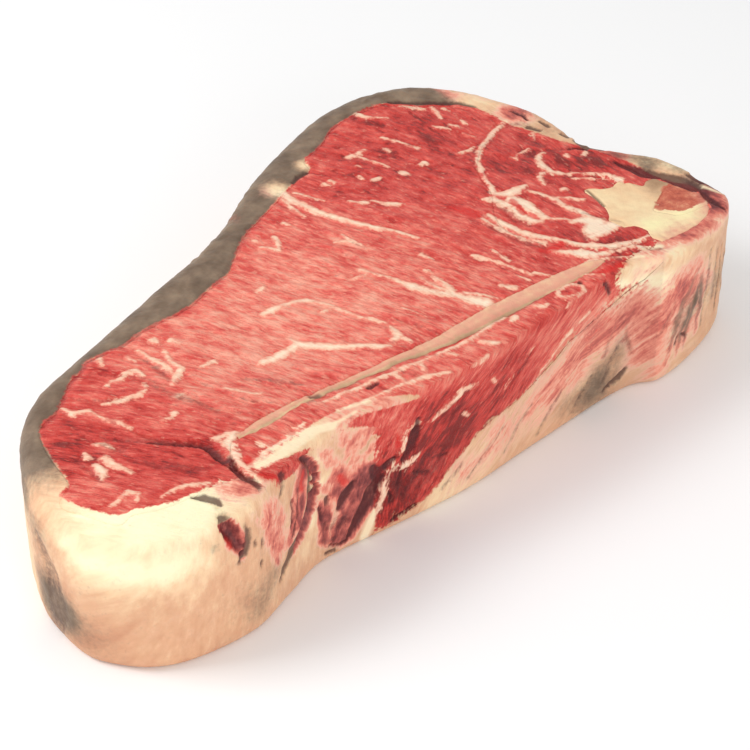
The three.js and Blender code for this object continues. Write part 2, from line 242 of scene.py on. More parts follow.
core_edge = smooth_curve(CORE_EDGE, True, BORDER_STEP)
end_bone_edge = smooth_curve(END_BONE_EDGE, True, BORDER_STEP)
marrow_edge = smooth_curve(MARROW_EDGE, True, BORDER_STEP)
seam = smooth_curve(SEAM, False, BORDER_STEP)
side_line = smooth_curve(SIDE_LINE, False, BORDER_STEP)
bone_line = smooth_curve(LONG_BONE, False, BORDER_STEP)
bone_run = np.gradient(bone_line[:, :2], axis=0)
bone_run /= np.linalg.norm(bone_run, axis=1)[:, None]
bone_side = np.stack([bone_run[:, 1], -bone_run[:, 0]], 1) * bone_line[:, 2:]
long_bone_edge = np.vstack([bone_line[:, :2] + bone_side, (bone_line[:, :2] - bone_side)[::-1]])
beside_seam = np.vstack([seam, [(FAR, 36), (FAR, -48)]])
before_line = np.vstack([side_line, [(FAR, -FAR), (-66.5, -FAR)]])
notch_x = np.arange(NOTCH_FROM, NOTCH_TO, BORDER_STEP)
notch = np.column_stack([notch_x, np.full(len(notch_x), NOTCH_Y)])
print(f"{len(core_edge)} points round all that fat wraps, {len(end_bone_edge)} round the end bone")


# %% Inside or outside, and clear of a line
def inside(points, start, end=None):
    """Whether plan points lie in a closed ring: going right, they cross it an odd number of times.
    The ring is its points in order, or the starts and the ends of its sides in any order."""
    end = np.roll(start, -1, 0) if end is None else end
    (x0, y0), (x1, y1) = start.T[:, None], end.T[:, None]
    slope = (x1 - x0) / np.where(y1 == y0, 1, y1 - y0)
    result = np.empty(len(points), bool)
    for part in np.array_split(np.arange(len(points)), len(points) // AT_ONCE + 1):
        x, y = points[part, 0:1], points[part, 1:2]
        crossed = ((y0 > y) != (y1 > y)) & (x < x0 + (y - y0) * slope)
        result[part] = crossed.sum(1) % 2 == 1
    return result


def hex_points(low, high, step, seed):
    """Points in rows, every other row half a step along, each moved a little at random."""
    xs = np.arange(low[0], high[0], step)
    ys = np.arange(low[1], high[1], step * 0.866)
    x, y = np.meshgrid(xs, ys)
    x = x + (np.arange(len(ys)) % 2)[:, None] * step / 2
    grid = np.stack([x.ravel(), y.ravel()], 1)
    return grid + np.random.default_rng(seed).normal(0, step * 0.05, grid.shape)


def clear_of(points, start, end, gap):
    """The points farther than a gap from the lines between starts and ends: square cells round those
    lines are emptied."""
    dense = np.vstack([start * (1 - t) + end * t for t in (0, 0.25, 0.5, 0.75)])
    taken = np.zeros((int(2 * FAR / gap) + 8,) * 2, bool)
    cell = np.floor((dense + FAR) / gap).astype(int)
    for across in (-1, 0, 1):
        for up in (-1, 0, 1):
            taken[cell[:, 0] + across, cell[:, 1] + up] = True
    own = np.floor((points + FAR) / gap).astype(int)
    return points[~taken[own[:, 0], own[:, 1]]]


# %% One net over the whole face
def anticlockwise(points, triangles):
    """The triangles with every one that runs clockwise in plan turned round."""
    a, b, c = points[triangles].transpose(1, 0, 2)
    turned = (b[:, 0] - a[:, 0]) * (c[:, 1] - a[:, 1]) < (b[:, 1] - a[:, 1]) * (c[:, 0] - a[:, 0])
    return np.where(turned[:, None], triangles[:, ::-1], triangles)


def net(points, chains):
    """Triangles over plan points that keep every chain of (points, closed) as edges."""
    edges, start = [], 0
    for chain, closed in chains:
        ids = np.arange(start, start + len(chain))
        pairs = np.stack([ids, np.roll(ids, -1)], 1)
        edges.append(pairs if closed else pairs[:-1])
        start += len(chain)
    every = np.vstack([chain for chain, closed in chains] + [points])
    found = delaunay_2d_cdt([Vector(p) for p in every.tolist()], np.vstack(edges).tolist(), [], 1, 1e-4)
    plan = np.array([(v.x, v.y) for v in found[0]])
    return plan, anticlockwise(plan, np.array(found[2]))


def stretches(line, closed):
    """The parts of a border that lie in the steak or just outside it."""
    looped = np.vstack([line, line[:1]]) if closed else line
    near = nearest_column(looped)[1] > -1.5
    cuts = np.flatnonzero(np.diff(near.astype(int))) + 1
    return [(part, False) for part, kept in zip(np.split(looped, cuts), np.split(near, cuts))
            if kept[0] and len(part) > 1]


face_ring = edge[:, :2] - outward * rim_start[:, None]
borders = [
    part
    for line, closed in (
        (core_edge, True), (end_bone_edge, True), (marrow_edge, True), (long_bone_edge, True),
        (seam, False), (side_line, False), (notch, False),
    )
    for part in stretches(line, closed)
]
grid = hex_points((-112, -72), (112, 73), FACE_STEP, seed=4)
grid = grid[inside(grid, face_ring)]
kept_lines = [np.vstack([face_ring, face_ring[:1]])] + [line for line, closed in borders]
starts, ends = (np.vstack([line[cut] for line in kept_lines]) for cut in (slice(-1), slice(1, None)))
grid = clear_of(grid, starts, ends, BORDER_GAP)
plan, triangles = net(grid, [(face_ring, True)] + borders)
print(f"the cut face: {len(plan)} points, {len(triangles)} triangles")

# %% Which tissue each triangle belongs to
TISSUES = ("fat_cap", "end_fat", "eye_muscle", "end_muscle", "side_muscle", "long_bone", "end_bone", "marrow")


def tissue_at(points):
    """The number of the tissue at each plan point; later rules win over earlier ones."""
    found = np.full(len(points), TISSUES.index("eye_muscle"))
    found[inside(points, beside_seam)] = TISSUES.index("end_muscle")
    found[inside(points, before_line)] = TISSUES.index("side_muscle")
    found[inside(points, long_bone_edge)] = TISSUES.index("long_bone")
    found[inside(points, end_bone_edge)] = TISSUES.index("end_bone")
    found[inside(points, marrow_edge)] = TISSUES.index("marrow")
    wrapped = ~inside(points, core_edge)
    at_right_end = (points[:, 0] > 20) & (points[:, 1] < NOTCH_Y)
    found[wrapped] = np.where(at_right_end[wrapped], TISSUES.index("end_fat"), TISSUES.index("fat_cap"))
    return found


def join_scraps(found, triangles):
    """Gives each small island of a tissue to the tissue round it.

    Islands are found by handing the lowest triangle number across every shared edge until nothing
    changes; then each island that isn't its tissue's largest takes a neighbour's tissue.
    """
    sides = np.sort(np.concatenate([triangles[:, [0, 1]], triangles[:, [1, 2]], triangles[:, [2, 0]]]), 1)
    owner = np.tile(np.arange(len(triangles)), 3)
    order = np.lexsort(sides.T)
    same = (sides[order[1:]] == sides[order[:-1]]).all(1)
    left, right = owner[order[1:]][same], owner[order[:-1]][same]
    for _ in range(3):
        kin = found[left] == found[right]
        label = np.arange(len(triangles))
        while True:
            low = np.minimum(label[left[kin]], label[right[kin]])
            before = label.copy()
            np.minimum.at(label, label[left[kin]], low)
            np.minimum.at(label, label[right[kin]], low)
            label = label[label]
            if (label == before).all():
                break
        size = np.bincount(label, minlength=len(triangles))[label]
        largest = np.zeros(len(TISSUES), int)
        np.maximum.at(largest, found, size)
        scrap = size < largest[found]
        touching = scrap[left] & ~scrap[right]
        found[left[touching]] = found[right[touching]]
        touching = scrap[right] & ~scrap[left]
        found[right[touching]] = found[left[touching]]
        if not scrap.any():
            break
    return found


tissue = join_scraps(tissue_at(plan[triangles].mean(1)), triangles)
for number, name in enumerate(TISSUES):
    print(f"{name}: {(tissue == number).sum()} triangles of the face")

# %% [markdown]
# ## Random but smooth
#
# Meat is uneven at every size. A lattice of random values, blended smoothly between its corners,
# gives mounds of one size; several sizes together look natural. The seed keeps it the same.

# %% Smooth random values
def mottle(points, size, seed):
    """Values from -1 to 1 that change over `size` mm: the random values at the eight corners of the
    cell round a point, blended by 3t² - 2t³ of its place in the cell."""
    lattice = np.random.default_rng(seed).uniform(-1, 1, (32, 32, 32))
    place = points / size
    base = np.floor(place).astype(int)
    t = place - base
    t = t * t * (3 - 2 * t)
    total = np.zeros(len(points))
    for corner in np.ndindex(2, 2, 2):
        weight = np.where(corner, t, 1 - t).prod(1)
        x, y, z = ((base + corner) % 32).T
        total += weight * lattice[x, y, z]
    return total


# %% [markdown]
# ## Marks on the face and on the side
#
# Marbling veins, seams, dried skin and the painted shade of hollows are all drawn as strokes: a
# line through a few points, each with half its width there. The same kind of stroke works on two
# charts, the cut face (x, y) and the side (distance round from the left end, height). How far a
# point lies outside a stroke's edge, in millimetres, is stored on the mesh, and the material turns it
# into a crisp, slightly ragged border.

# %% Distances to strokes
def to_stroke(points, stroke):
    """How far points lie outside a stroke: the distance to the nearest place on its line, less the
    half width there, which changes evenly from each of its points to the next."""
    stroke = np.asarray(stroke, float)
    if len(stroke) == 1:
        stroke = np.vstack([stroke, stroke + (1e-3, 0, 0)])
    start, run = stroke[:-1, :2], np.diff(stroke[:, :2], axis=0)
    way = points[:, None] - start
    share = np.clip((way * run).sum(-1) / (run**2).sum(-1), 0, 1)
    gap = np.linalg.norm(way - share[..., None] * run, axis=-1)
    half = stroke[:-1, 2] + share * np.diff(stroke[:, 2])
    return (gap - half).min(1)


def to_strokes(points, strokes, reach):
    """The least distance to any of the strokes, no more than `reach`."""
    least = np.full(len(points), float(reach))
    for stroke in strokes:
        across = np.asarray(stroke, float)
        low = across[:, :2].min(0) - across[:, 2].max() - reach
        high = across[:, :2].max(0) + across[:, 2].max() + reach
        near = np.flatnonzero(((points > low) & (points < high)).all(1))
        least[near] = np.minimum(least[near], to_stroke(points[near], stroke))
    return least


def smoothly(value, low, high):
    """0 below low, 1 above high and 3t² - 2t³ between."""
    t = np.clip((value - low) / (high - low), 0, 1)
    return t * t * (3 - 2 * t)


def pools(points, spots, base):
    """A base value, moved by each spot's amount where the spot is: spots are x, y, radius, amount."""
    value = np.full(len(points), float(base))
    for x, y, radius, amount in spots:
        value += amount * np.exp(-((points - (x, y)) ** 2).sum(1) / radius**2)
    return value


# %% [markdown]
# ## Marbling
#
# Marbling is fat laid down between bundles of muscle fibre, so its veins run mostly along the
# grain, taper to nothing and branch. The large ones start from the fat cap or from the bone.

# %% Veins and seams of the cut face: x, y and half width
VEINS = (
    # the great vein from the back, with its two side branches
    ((6.5, 35, 1.6), (6.5, 31, 1.5), (8, 27, 1.3), (9, 22, 1.1), (11, 17, 1.1), (14, 12, 0.9),
     (17, 7, 0.8), (20, 3, 0.8), (22, 0, 0.9), (24, -4, 0.4)),
    ((5, 33, 0.9), (4.5, 27, 0.5), (5, 22, 0.3)),
    ((9.5, 34, 0.5), (12, 29, 0.4), (14, 26, 0.2)),
    # the great forked vein in the middle
    ((-41, -27, 1.0), (-38, -27.5, 1.6), (-33, -26.8, 1.3), (-29, -26, 1.5), (-26, -28.5, 1.2),
     (-22, -32, 1.5), (-18, -34.5, 1.2), (-15, -36.5, 1.0), (-13, -39, 1.3), (-11, -39.5, 0.8)),
    ((-29.3, -25, 1.0), (-29.5, -22, 0.2)),
    ((-9, -39, 0.8), (-7, -38, 1.3), (-6.5, -36, 0.9), (-6, -33, 0.3)),
    ((-7, -38, 0.8), (-6, -41.5, 0.5)),
    # the arc above it
    ((-29, -10, 0.8), (-26.5, -9.8, 1.2), (-21, -10, 0.6), (-17, -11, 0.9), (-14.5, -14, 0.6),
     (-12.5, -17, 0.6), (-11.5, -21, 0.6), (-10, -25, 0.4), (-7.5, -28.5, 0.3), (-6, -31, 0.2)),
    ((-16.5, -17.8, 0.5), (-13, -17.5, 0.4)),
    # the long vein in the middle of the eye, down to the bone
    ((2.5, -8, 0.8), (4, -11, 0.5), (6, -14, 0.5), (8, -19, 0.9), (9, -22, 1.4), (11, -26, 1.5),
     (13, -28.5, 1.3), (16, -32, 1.3), (18, -36, 1.7), (20, -39, 2.3)),
    ((-2, -10, 0.2), (2.5, -10.5, 0.5)),
    ((13, -20, 0.3), (13.5, -25, 0.5), (16, -31, 0.5)),
    ((16, -21, 0.3), (16.5, -26, 0.9), (16, -31, 0.6)),
    ((16, -31, 0.5), (20, -34, 0.5), (24, -39, 0.3)),
    ((31, -19, 0.6), (33, -23, 0.4), (35, -28, 0.35), (38, -35, 0.3)),
    ((0.5, -27, 0.25), (4, -35, 0.25)),
    ((36.5, -20, 0.2), (37, -27, 0.25)),
    ((34.5, -34, 0.4), (36, -37, 0.4)),
    ((39, -35, 0.3), (42, -39, 0.3)),
    ((28.5, -35, 0.7), (30.5, -38, 0.7)),
    ((16, -18, 0.4), (17, -20, 0.2)),
    ((20, -11, 0.4), (21, -14.5, 0.3)),
    # the tail at the left
    ((-90, -15, 0.6), (-89, -18.5, 0.9), (-85.5, -19.5, 0.7), (-84.5, -24, 0.5), (-82, -27.5, 0.6),
     (-80, -31, 0.3)),
    ((-81, -19, 0.4), (-77, -20.5, 0.5), (-73, -21.5, 0.7), (-70, -20.8, 0.5), (-69, -18, 0.4)),
    ((-77, -13.5, 0.6), (-75, -12.3, 0.6), (-73, -12.8, 0.9), (-70, -11.8, 0.5),
     (-68, -12, 1.0), (-67.5, -15, 0.4)),
    ((-63, -5, 0.5), (-62.5, -9, 0.7), (-61.5, -13, 0.9), (-61, -17, 0.6)),
    ((-58, -9, 0.4), (-59, -14, 0.7), (-58.5, -18, 0.9), (-61, -20, 1.1), (-63, -22, 0.6)),
    ((-54, -20, 0.3), (-50, -19.8, 0.6)),
    ((-54, -31, 0.2), (-52, -34, 0.35), (-50, -37, 0.5), (-48, -38, 0.4)),
    ((-94, -33, 0.6), (-94, -34.5, 0.8)),
    ((-94, -38.5, 1.0), (-94, -41.5, 1.3), (-95, -43, 0.5)),
    ((-91, -37.5, 1.2), (-90.5, -40, 1.0), (-89, -43, 0.5), (-88.5, -45, 0.6)),
    ((-90.5, -31, 0.4), (-88.5, -32.5, 0.9), (-87.5, -35, 0.5)),
    ((-65, -27, 0.9), (-63, -27, 0.5)),
    ((-72.5, -33, 0.5), (-70.5, -33.3, 0.4)),
    ((-69, -32.3, 0.9),),
    ((-58, -3.5, 1.2), (-57.5, -5, 0.6)),
    ((-54.5, -6.5, 1.0), (-53.5, -8.5, 0.8)),
    ((-73, -3, 0.8), (-73.5, -5, 0.6)),
    ((-67, -6, 0.5), (-66, -8.5, 0.4)),
    ((-24, -0.5, 1.1), (-22.5, 0.3, 0.5)),
    ((-98, -53, 0.4), (-95, -52, 0.6), (-92.5, -51, 0.5), (-91, -53, 0.6), (-92.5, -54.5, 0.6)),
    ((-87, -57, 0.3), (-84, -56.5, 0.5), (-81, -56.8, 0.8), (-79, -57.5, 0.9), (-76, -59, 0.7)),
    # the back of the eye
    ((5, 7, 0.4), (7.5, 5.5, 0.9), (8, 5, 1.0), (9, 2, 0.6), (9.5, -1, 0.3)),
    ((8, 8.5, 0.4), (8, 5, 0.8)),
    ((-13, 16, 0.5), (-11.5, 14.5, 0.6), (-10, 12.5, 0.9)),
    ((-7.5, 18, 0.7), (-8.5, 15, 0.5), (-9.5, 13, 0.7)),
    ((-12.8, 19.7, 0.5), (-12, 18, 0.3)),
    ((-1.5, 22.5, 0.7), (-0.5, 20.5, 0.3)),
    ((19, 21, 0.5), (20.5, 19, 0.9), (22.5, 18, 0.9)),
    ((24.5, 18, 0.5), (26.5, 15, 0.6), (28.5, 13.3, 0.9), (30.5, 12, 0.4)),
    ((18.8, 33, 0.8), (19.5, 31.8, 0.4)),
    ((21, 33.4, 0.6), (21.5, 31.8, 0.4)),
    ((32.5, 41.3, 0.6), (35, 40.6, 0.8), (38.5, 41.5, 0.6)),
    ((35, 40, 0.4), (36, 36.5, 0.4), (37, 34.5, 0.6), (38.5, 30.3, 0.5)),
    ((46.3, 44.5, 0.5), (48.5, 40, 0.5), (50, 37, 0.4), (51.5, 33, 0.4)),
    ((48, 61, 0.6), (48.8, 57, 0.8), (50.5, 54.5, 0.5), (54, 52, 0.3)),
    ((43.5, 38.5, 0.7), (43.8, 37, 0.5)),
    ((40.3, 25.2, 0.9), (41.2, 23.5, 0.4)),
    ((46.5, 26, 0.6), (48.3, 26, 1.2)),
    ((31, 26.8, 0.7), (33, 26.5, 0.3)),
    ((29, 30.5, 0.4), (29.2, 28.5, 0.4)),
    ((31.5, 35.3, 0.6), (32, 34.6, 0.3)),
    ((61, 55.5, 0.5), (63.5, 53, 0.7), (66, 50.5, 0.5)),
    ((68.5, 50, 0.5), (68, 47, 0.7), (67, 43.5, 0.3)),
    ((71, 47.5, 0.8), (71.3, 45.8, 0.4)),
    ((62, 40.5, 0.5), (63.5, 38.5, 0.9), (65, 36.5, 0.4)),
    ((66.5, 38.5, 0.6), (68, 36.5, 0.6)),
    ((70.8, 38.7, 0.5), (70.8, 36.5, 0.4)),
    ((67, 32.5, 0.4), (68.5, 29, 0.3)),
    ((59.5, 24.5, 0.7), (62.5, 24, 0.6), (64.5, 24.6, 0.4)),
    # the end muscle
    ((70, 14, 0.4), (70.8, 12.8, 0.4), (71.5, 13.8, 0.4), (73, 14.5, 0.3), (77, 15, 0.3)),
    ((71.5, -7.8, 1.0),),
    ((83.5, 5.8, 0.9), (83, 4.5, 0.5)),
    ((87.5, 3, 0.8), (89, 4.2, 0.5)),
    ((83, 21, 0.5), (82, 18.5, 0.4)),
    ((77, -5, 0.3), (81, -7.5, 0.4), (84, -10, 0.3)),
    # the front muscle
    ((-57.5, -54.5, 0.6), (-58, -52.8, 0.4)),
    ((-48, -53.7, 0.7), (-45.5, -53.3, 0.3)),
    ((-16.8, -49.5, 0.8), (-16.3, -52, 0.6), (-16.5, -54.7, 0.3)),
    ((-9, -50.5, 0.5), (-9.5, -52.5, 0.5)),
    ((-1, -50.5, 0.5), (0.5, -52.5, 0.4)),
    ((9, -51, 0.5), (11, -53.5, 1.1), (12.5, -54.3, 0.5)),
    ((20.5, -49, 0.5), (22.5, -48, 1.0)),
    ((29.5, -46.5, 0.5), (30.5, -48.3, 0.8), (33, -48.5, 0.4)),
    ((1, -58.5, 0.5), (4, -58, 0.8), (7, -57, 0.4)),
    ((36, -52.5, 0.3), (39, -51, 0.5)),
)
SEAMS = (
    # a pale streak in the skin of the right end
    ((102.9, -22.1, 0.4), (103.9, -28.6, 0.7), (106.9, -35.8, 0.3)),
    # between the eye and the end muscle
    ((81, 31, 0.6), (76, 29, 0.6), (71, 26, 0.7), (66, 23, 0.8), (61, 18, 0.7), (58, 12, 0.6),
     (56, 6, 0.6), (54, 1.5, 0.8)),
    # the wide seam below it, in two strands, down to the end bone
    ((43.8, -7, 0.7), (44, -11, 0.6), (45.5, -17, 0.7), (47, -22, 0.8), (50, -26, 0.7)),
    ((46, -6, 0.6), (46.5, -11, 1.2), (48, -17, 1.2), (50, -22, 1.3), (53, -26, 0.9),
     (56, -30, 0.8), (59, -33.5, 1.4), (63, -37, 1.5), (70, -39, 0.9), (75.5, -39.2, 0.6)),
    ((49, -29.5, 0.4), (52, -33, 1.2), (55, -35.5, 2.2), (57, -38, 2.0), (62, -39.5, 0.9)),
    # the triangle of fat where the seams part
    ((49.8, 0.8, 0.8), (52, -1, 1.2), (53, -5, 1.7), (53.3, -10, 1.6), (54, -15, 1.4), (56, -17, 0.6)),
    ((54, 1, 1.0), (57, -1, 1.6), (60, -1, 1.5), (64, -0.3, 0.6)),
    ((56, -4, 1.8), (58, -8, 1.8), (57.5, -12, 1.5), (58, -16, 1.0)),
    # the pink patch by the end bone
    ((62.5, -22, 1.0), (66, -23, 1.8), (68, -26, 3.0), (64, -28, 2.6), (68, -29, 2.8), (72, -29.5, 1.6)),
    ((62.5, -30.5, 1.6), (67, -30.5, 1.8), (72, -30, 1.6)),
    # fingers of fat in the small muscles
    ((62.5, -3, 0.4), (65, -7, 0.6), (66, -10, 0.8), (66, -15, 0.9), (67.5, -19, 1.2), (69, -24, 1.0)),
    ((67, -10, 0.5), (70, -12.5, 0.7), (72.5, -15, 0.5)),
    ((57, -16, 0.5), (62, -20, 0.5), (63, -22, 0.6)),
    ((79, 11, 0.5), (77, 10, 0.8), (75, 8, 1.1), (74.2, 5, 1.2), (74.2, 1, 1.1), (77, -2, 0.7),
     (80.5, -3.8, 0.4)),
    ((74, 1.8, 0.5), (71, 2.2, 0.6), (69, 0, 0.6), (68.3, -3, 0.4)),
    ((80.5, -4, 0.4), (84, -6.5, 0.7), (86, -9, 1.2), (87, -13, 1.4)),
    # round the right end of the long bone
    ((51, -39.5, 0.5), (56, -40, 0.8), (60, -41.5, 0.5), (64, -43.5, 0.6), (67.5, -45.5, 0.5)),
    ((64, -39.8, 0.6), (68.5, -40.5, 0.9), (71.5, -42.8, 0.9), (75, -44.5, 0.7)),
    ((49, -43.3, 0.4), (53, -46, 0.5)),
    # the skin of the long bone, and the thin line in front of it
    ((-66, -46.2, 0.8), (-62.5, -46.6, 0.9), (-60, -47.6, 0.7)),
    ((-62, -47.5, 1.3), (-64.5, -49, 1.5), (-65.2, -52, 1.2), (-66, -56, 0.9), (-66, -61, 0.7),
     (-65.5, -65, 0.6)),
    ((-38, -49, 0.3), (-33, -49.3, 0.5), (-20, -49.3, 0.6), (-10, -49.7, 0.6), (0, -49.4, 0.6),
     (8, -48.8, 0.7), (14, -47.2, 0.9), (20, -46.5, 0.6)),
    # the fat at the front edge, towards the left
    ((-65, -59.3, 0.6), (-60, -57.8, 0.9), (-55, -56.3, 1.0), (-50, -55.3, 1.1), (-45, -56.6, 1.6),
     (-41, -57.8, 1.6), (-38, -57.3, 0.5), (-33, -56.6, 0.4)),
    ((-63, -60.5, 1.0), (-58, -60, 1.5), (-52, -58.5, 1.8), (-46, -57, 1.6), (-41, -57, 1.0)),
    ((-36, -53.6, 0.4), (-29.2, -54.6, 0.6), (-19.8, -54.5, 0.6), (-11.4, -55, 0.7), (-5, -57, 0.6)),
    # the vessel in the front muscle, cut across
    ((41.5, -44.6, 0.55), (44.3, -45.2, 0.6), (45.6, -47, 0.6), (44.5, -49, 0.6), (41.5, -49.8, 0.7),
     (38.6, -49, 0.6), (37.6, -47, 0.6), (38.8, -45.2, 0.5), (41.5, -44.6, 0.5)),
)
# painted shade in deep places on the face: the split at the left end, the pocket, hollows beside bone and
# skin
SHADED_HOLLOWS = (
    ((-80, -38, 0.2), (-76, -41.5, 0.3), (-72, -44.5, 0.4), (-69.5, -47.5, 0.5), (-69.3, -52.6, 0.7),
     (-66.9, -53.8, 0.5), (-68.2, -58.4, 0.9), (-68, -61.7, 0.8), (-66.9, -65, 0.9), (-67, -66.8, 0.6)),
    ((-81.5, -61, 0.3), (-79.5, -62.5, 1.0), (-77.8, -65, 1.1), (-77.5, -67, 0.5)),
    ((-61.5, -68.5, 0.4), (-60.1, -65.9, 0.8)),
    ((-38.5, -45.3, 0.4), (-36.5, -45.9, 0.6)),
    ((-25, -50.6, 0.5), (-22.5, -50.8, 0.4)),
    ((50.9, -49.8, 0.7), (50.6, -51.5, 0.8), (49.9, -53.8, 0.5)),
    ((46.2, -45.2, 0.6),),
    ((76.4, -12, 0.3), (75.9, -17, 0.3), (75.2, -20.5, 0.3)),
    ((90.5, 10.5, 0.5), (91, 6, 0.9), (93.4, 4.4, 1.3), (96.6, 2, 1.5), (101.8, -4.8, 1.3),
     (105.6, -10, 0.9),
     (108.6, -18.5, 0.6)),
    ((92.6, -5, 0.6), (94, -9.9, 1.6), (95.4, -14.2, 2.1), (97.4, -16.6, 1.6)),
    ((98.6, -17.6, 1.6), (100.8, -22.7, 2.8), (101.8, -27, 2.4)),
    ((107, -22, 1.0), (108.4, -29.1, 2.4), (108.2, -34, 1.6)), ((105, -21.5, 0.6), (105.8, -26.5, 1.1)),
    ((102.4, -29.5, 0.5), (101.4, -33.6, 1.0), (101, -37.3, 0.9), (101, -41, 0.4)),
    ((86, 8, 0.3), (89, 6.5, 0.6), (90.5, 5.5, 0.6)),
    ((12, 38.6, 0.3), (15, 40.6, 0.7), (18.5, 41.2, 0.4)),
    ((60, 59.5, 0.6), (65, 55.6, 0.7), (72, 51, 0.8), (77, 47.7, 0.8), (79.3, 43, 0.4)),
    ((84.5, 24.5, 0.8), (85.8, 21, 0.6)),
    ((89.8, 16, 0.5), (90.2, 13.5, 0.5)), ((86.3, 34.5, 0.4), (87.3, 30.5, 0.5), (86.6, 27.8, 0.3)),
    ((89.3, 25, 0.4), (89.5, 21.5, 0.6)),
)
# softer shade where one sheet of lean or fat lies over another
SHADES = (
    ((-88, -30, 0.3), (-82, -35.5, 0.6), (-77, -40, 0.7), (-72, -43.8, 0.9), (-68.5, -46.5, 0.9)),
    ((-86, -42, 0.3), (-81, -47.5, 0.9), (-77, -51.5, 0.9), (-73, -54.5, 0.5)),
    ((-92, -27, 0.2), (-88.5, -32.5, 0.5), (-86, -37, 0.4)),
    ((-97, -34, 0.2), (-96, -40, 0.4), (-95.6, -44, 0.3)),
    ((-70, -15, 0.2), (-67.5, -21, 0.5), (-65, -27, 0.6), (-61.5, -33, 0.7), (-60, -38, 0.3)),
    ((-63.8, -9, 0.2), (-63.2, -15.5, 0.5), (-62.8, -20, 0.4)),
    ((-48, -30, 0.2), (-43, -35.5, 0.5), (-38, -40, 0.4)),
    ((50.6, -1, 0.3), (51.3, -6, 0.5), (51.6, -11, 0.5), (52.4, -16.5, 0.4)),
    ((42.8, -9.5, 0.4), (44.2, -17, 0.5), (46.2, -23, 0.5), (49.2, -27.3, 0.4)),
    ((60.6, -24, 0.4), (60.8, -28, 0.6), (60, -31.5, 0.4)),
    ((74, 12, 0.4), (78, 12.3, 0.5), (83, 10.3, 0.4), (87, 7.6, 0.4)),
    ((80, 29, 0.9), (84, 27.5, 0.9), (85.8, 23, 0.9)),
    ((79.5, 21, 1.0), (80, 16.5, 1.2), (81.5, 13.5, 0.8)),
    ((68.2, -20, 0.3), (71.5, -25.5, 0.5), (73.5, -29, 0.4)),
    ((70.5, -42.3, 0.3), (74, -45.6, 0.4)),
    ((-97, -18, 0.5), (-92.5, -15.8, 0.6), (-89.5, -13, 0.5), (-85.5, -8.8, 0.6), (-82, -5.8, 0.5),
     (-79, -4.3, 0.8), (-76, -2.2, 0.5), (-70, -1.2, 0.4), (-64, -0.6, 0.5), (-58, 1.6, 0.5),
     (-52, 2.7, 0.4), (-46, 3.7, 0.6), (-40, 5.2, 0.5), (-35, 7.7, 0.4), (-30, 9.7, 0.6), (-24, 14, 0.5),
     (-17, 20.6, 0.6), (-10, 26.2, 0.4), (-3, 30, 0.4)),
    ((24, 48.5, 0.4), (29, 51.4, 0.7), (34, 54.6, 0.7), (40, 58.2, 0.4), (46, 60, 0.5), (54, 60, 0.5)),
    ((-40, -46.9, 0.4), (-25, -46.6, 0.4), (-10, -47, 0.3), (4, -47.3, 0.4), (18, -46.2, 0.4),
     (35, -44.8, 0.5)),
)
BLOOD_MARKS = (
    ((41, 3, 0.6), (42.5, -1, 1.3), (43.4, -4, 1.2)),
    ((47.5, -27.8, 0.6), (50, -29.5, 0.9), (53.5, -29, 0.6)),
    ((-4, -48.3, 0.3), (3, -48, 0.3), (8, -47, 0.4), (13, -46.3, 0.3)),
    ((-63.7, -56.5, 0.5), (-64.2, -58, 0.6)),
    ((-64.7, -63.5, 0.5), (-63.3, -64.8, 0.8), (-61.9, -66.9, 0.7)),
    ((52, -44.8, 0.4), (57, -45.3, 0.7), (61, -45.6, 0.4)),
    ((55.8, -4.5, 0.5), (54.6, -10.8, 0.5)),
)
# fat that lies over the lean at the torn front edge
FAT_OVER = (
    ((-63, -60, 1.0), (-56, -59.5, 2.0), (-48, -58.5, 3.0), (-40, -57, 3.2), (-33, -56, 2.2),
     (-26, -57.5, 2.2),
     (-20, -60, 2.0), (-15, -62, 1.2)),
)
# fat of the face that is torn and streaked with red
TORN_FACE = (
    ((52, -50, 1.5), (57, -47.5, 2), (66, -45, 2), (76, -43.5, 2)), ((84, -10, 2), (86, -14, 2)),
    ((-76, -64, 2.5), (-71, -60, 3.0), (-70.5, -65, 3.2), (-64.5, -67, 2.4)),
    ((-64, -52, 1.6), (-60, -52, 1.4), (-58, -57, 1.6), (-48, -53.5, 1.2)),
    ((54, -6, 1.6), (56.5, -12, 1.6)), ((55, -35.5, 1.5), (60, -37.5, 1.2)),
    ((70, -39.5, 1.4), (77, -43, 1.5), (86, -42, 1.2), (96, -41, 1.6), (100, -36, 1.5)),
    ((84, 36, 2.5), (87.5, 30, 2.0), (88.5, 24, 1.4)), ((-30, 22, 2.5), (-12, 34, 3), (2, 44, 2.5)),
    ((55, 64.5, 2), (68, 59.5, 2.2), (80, 50, 2)),
)
print(f"{len(VEINS)} veins, {len(SEAMS)} seams, {len(SHADED_HOLLOWS)} dark marks on the face")

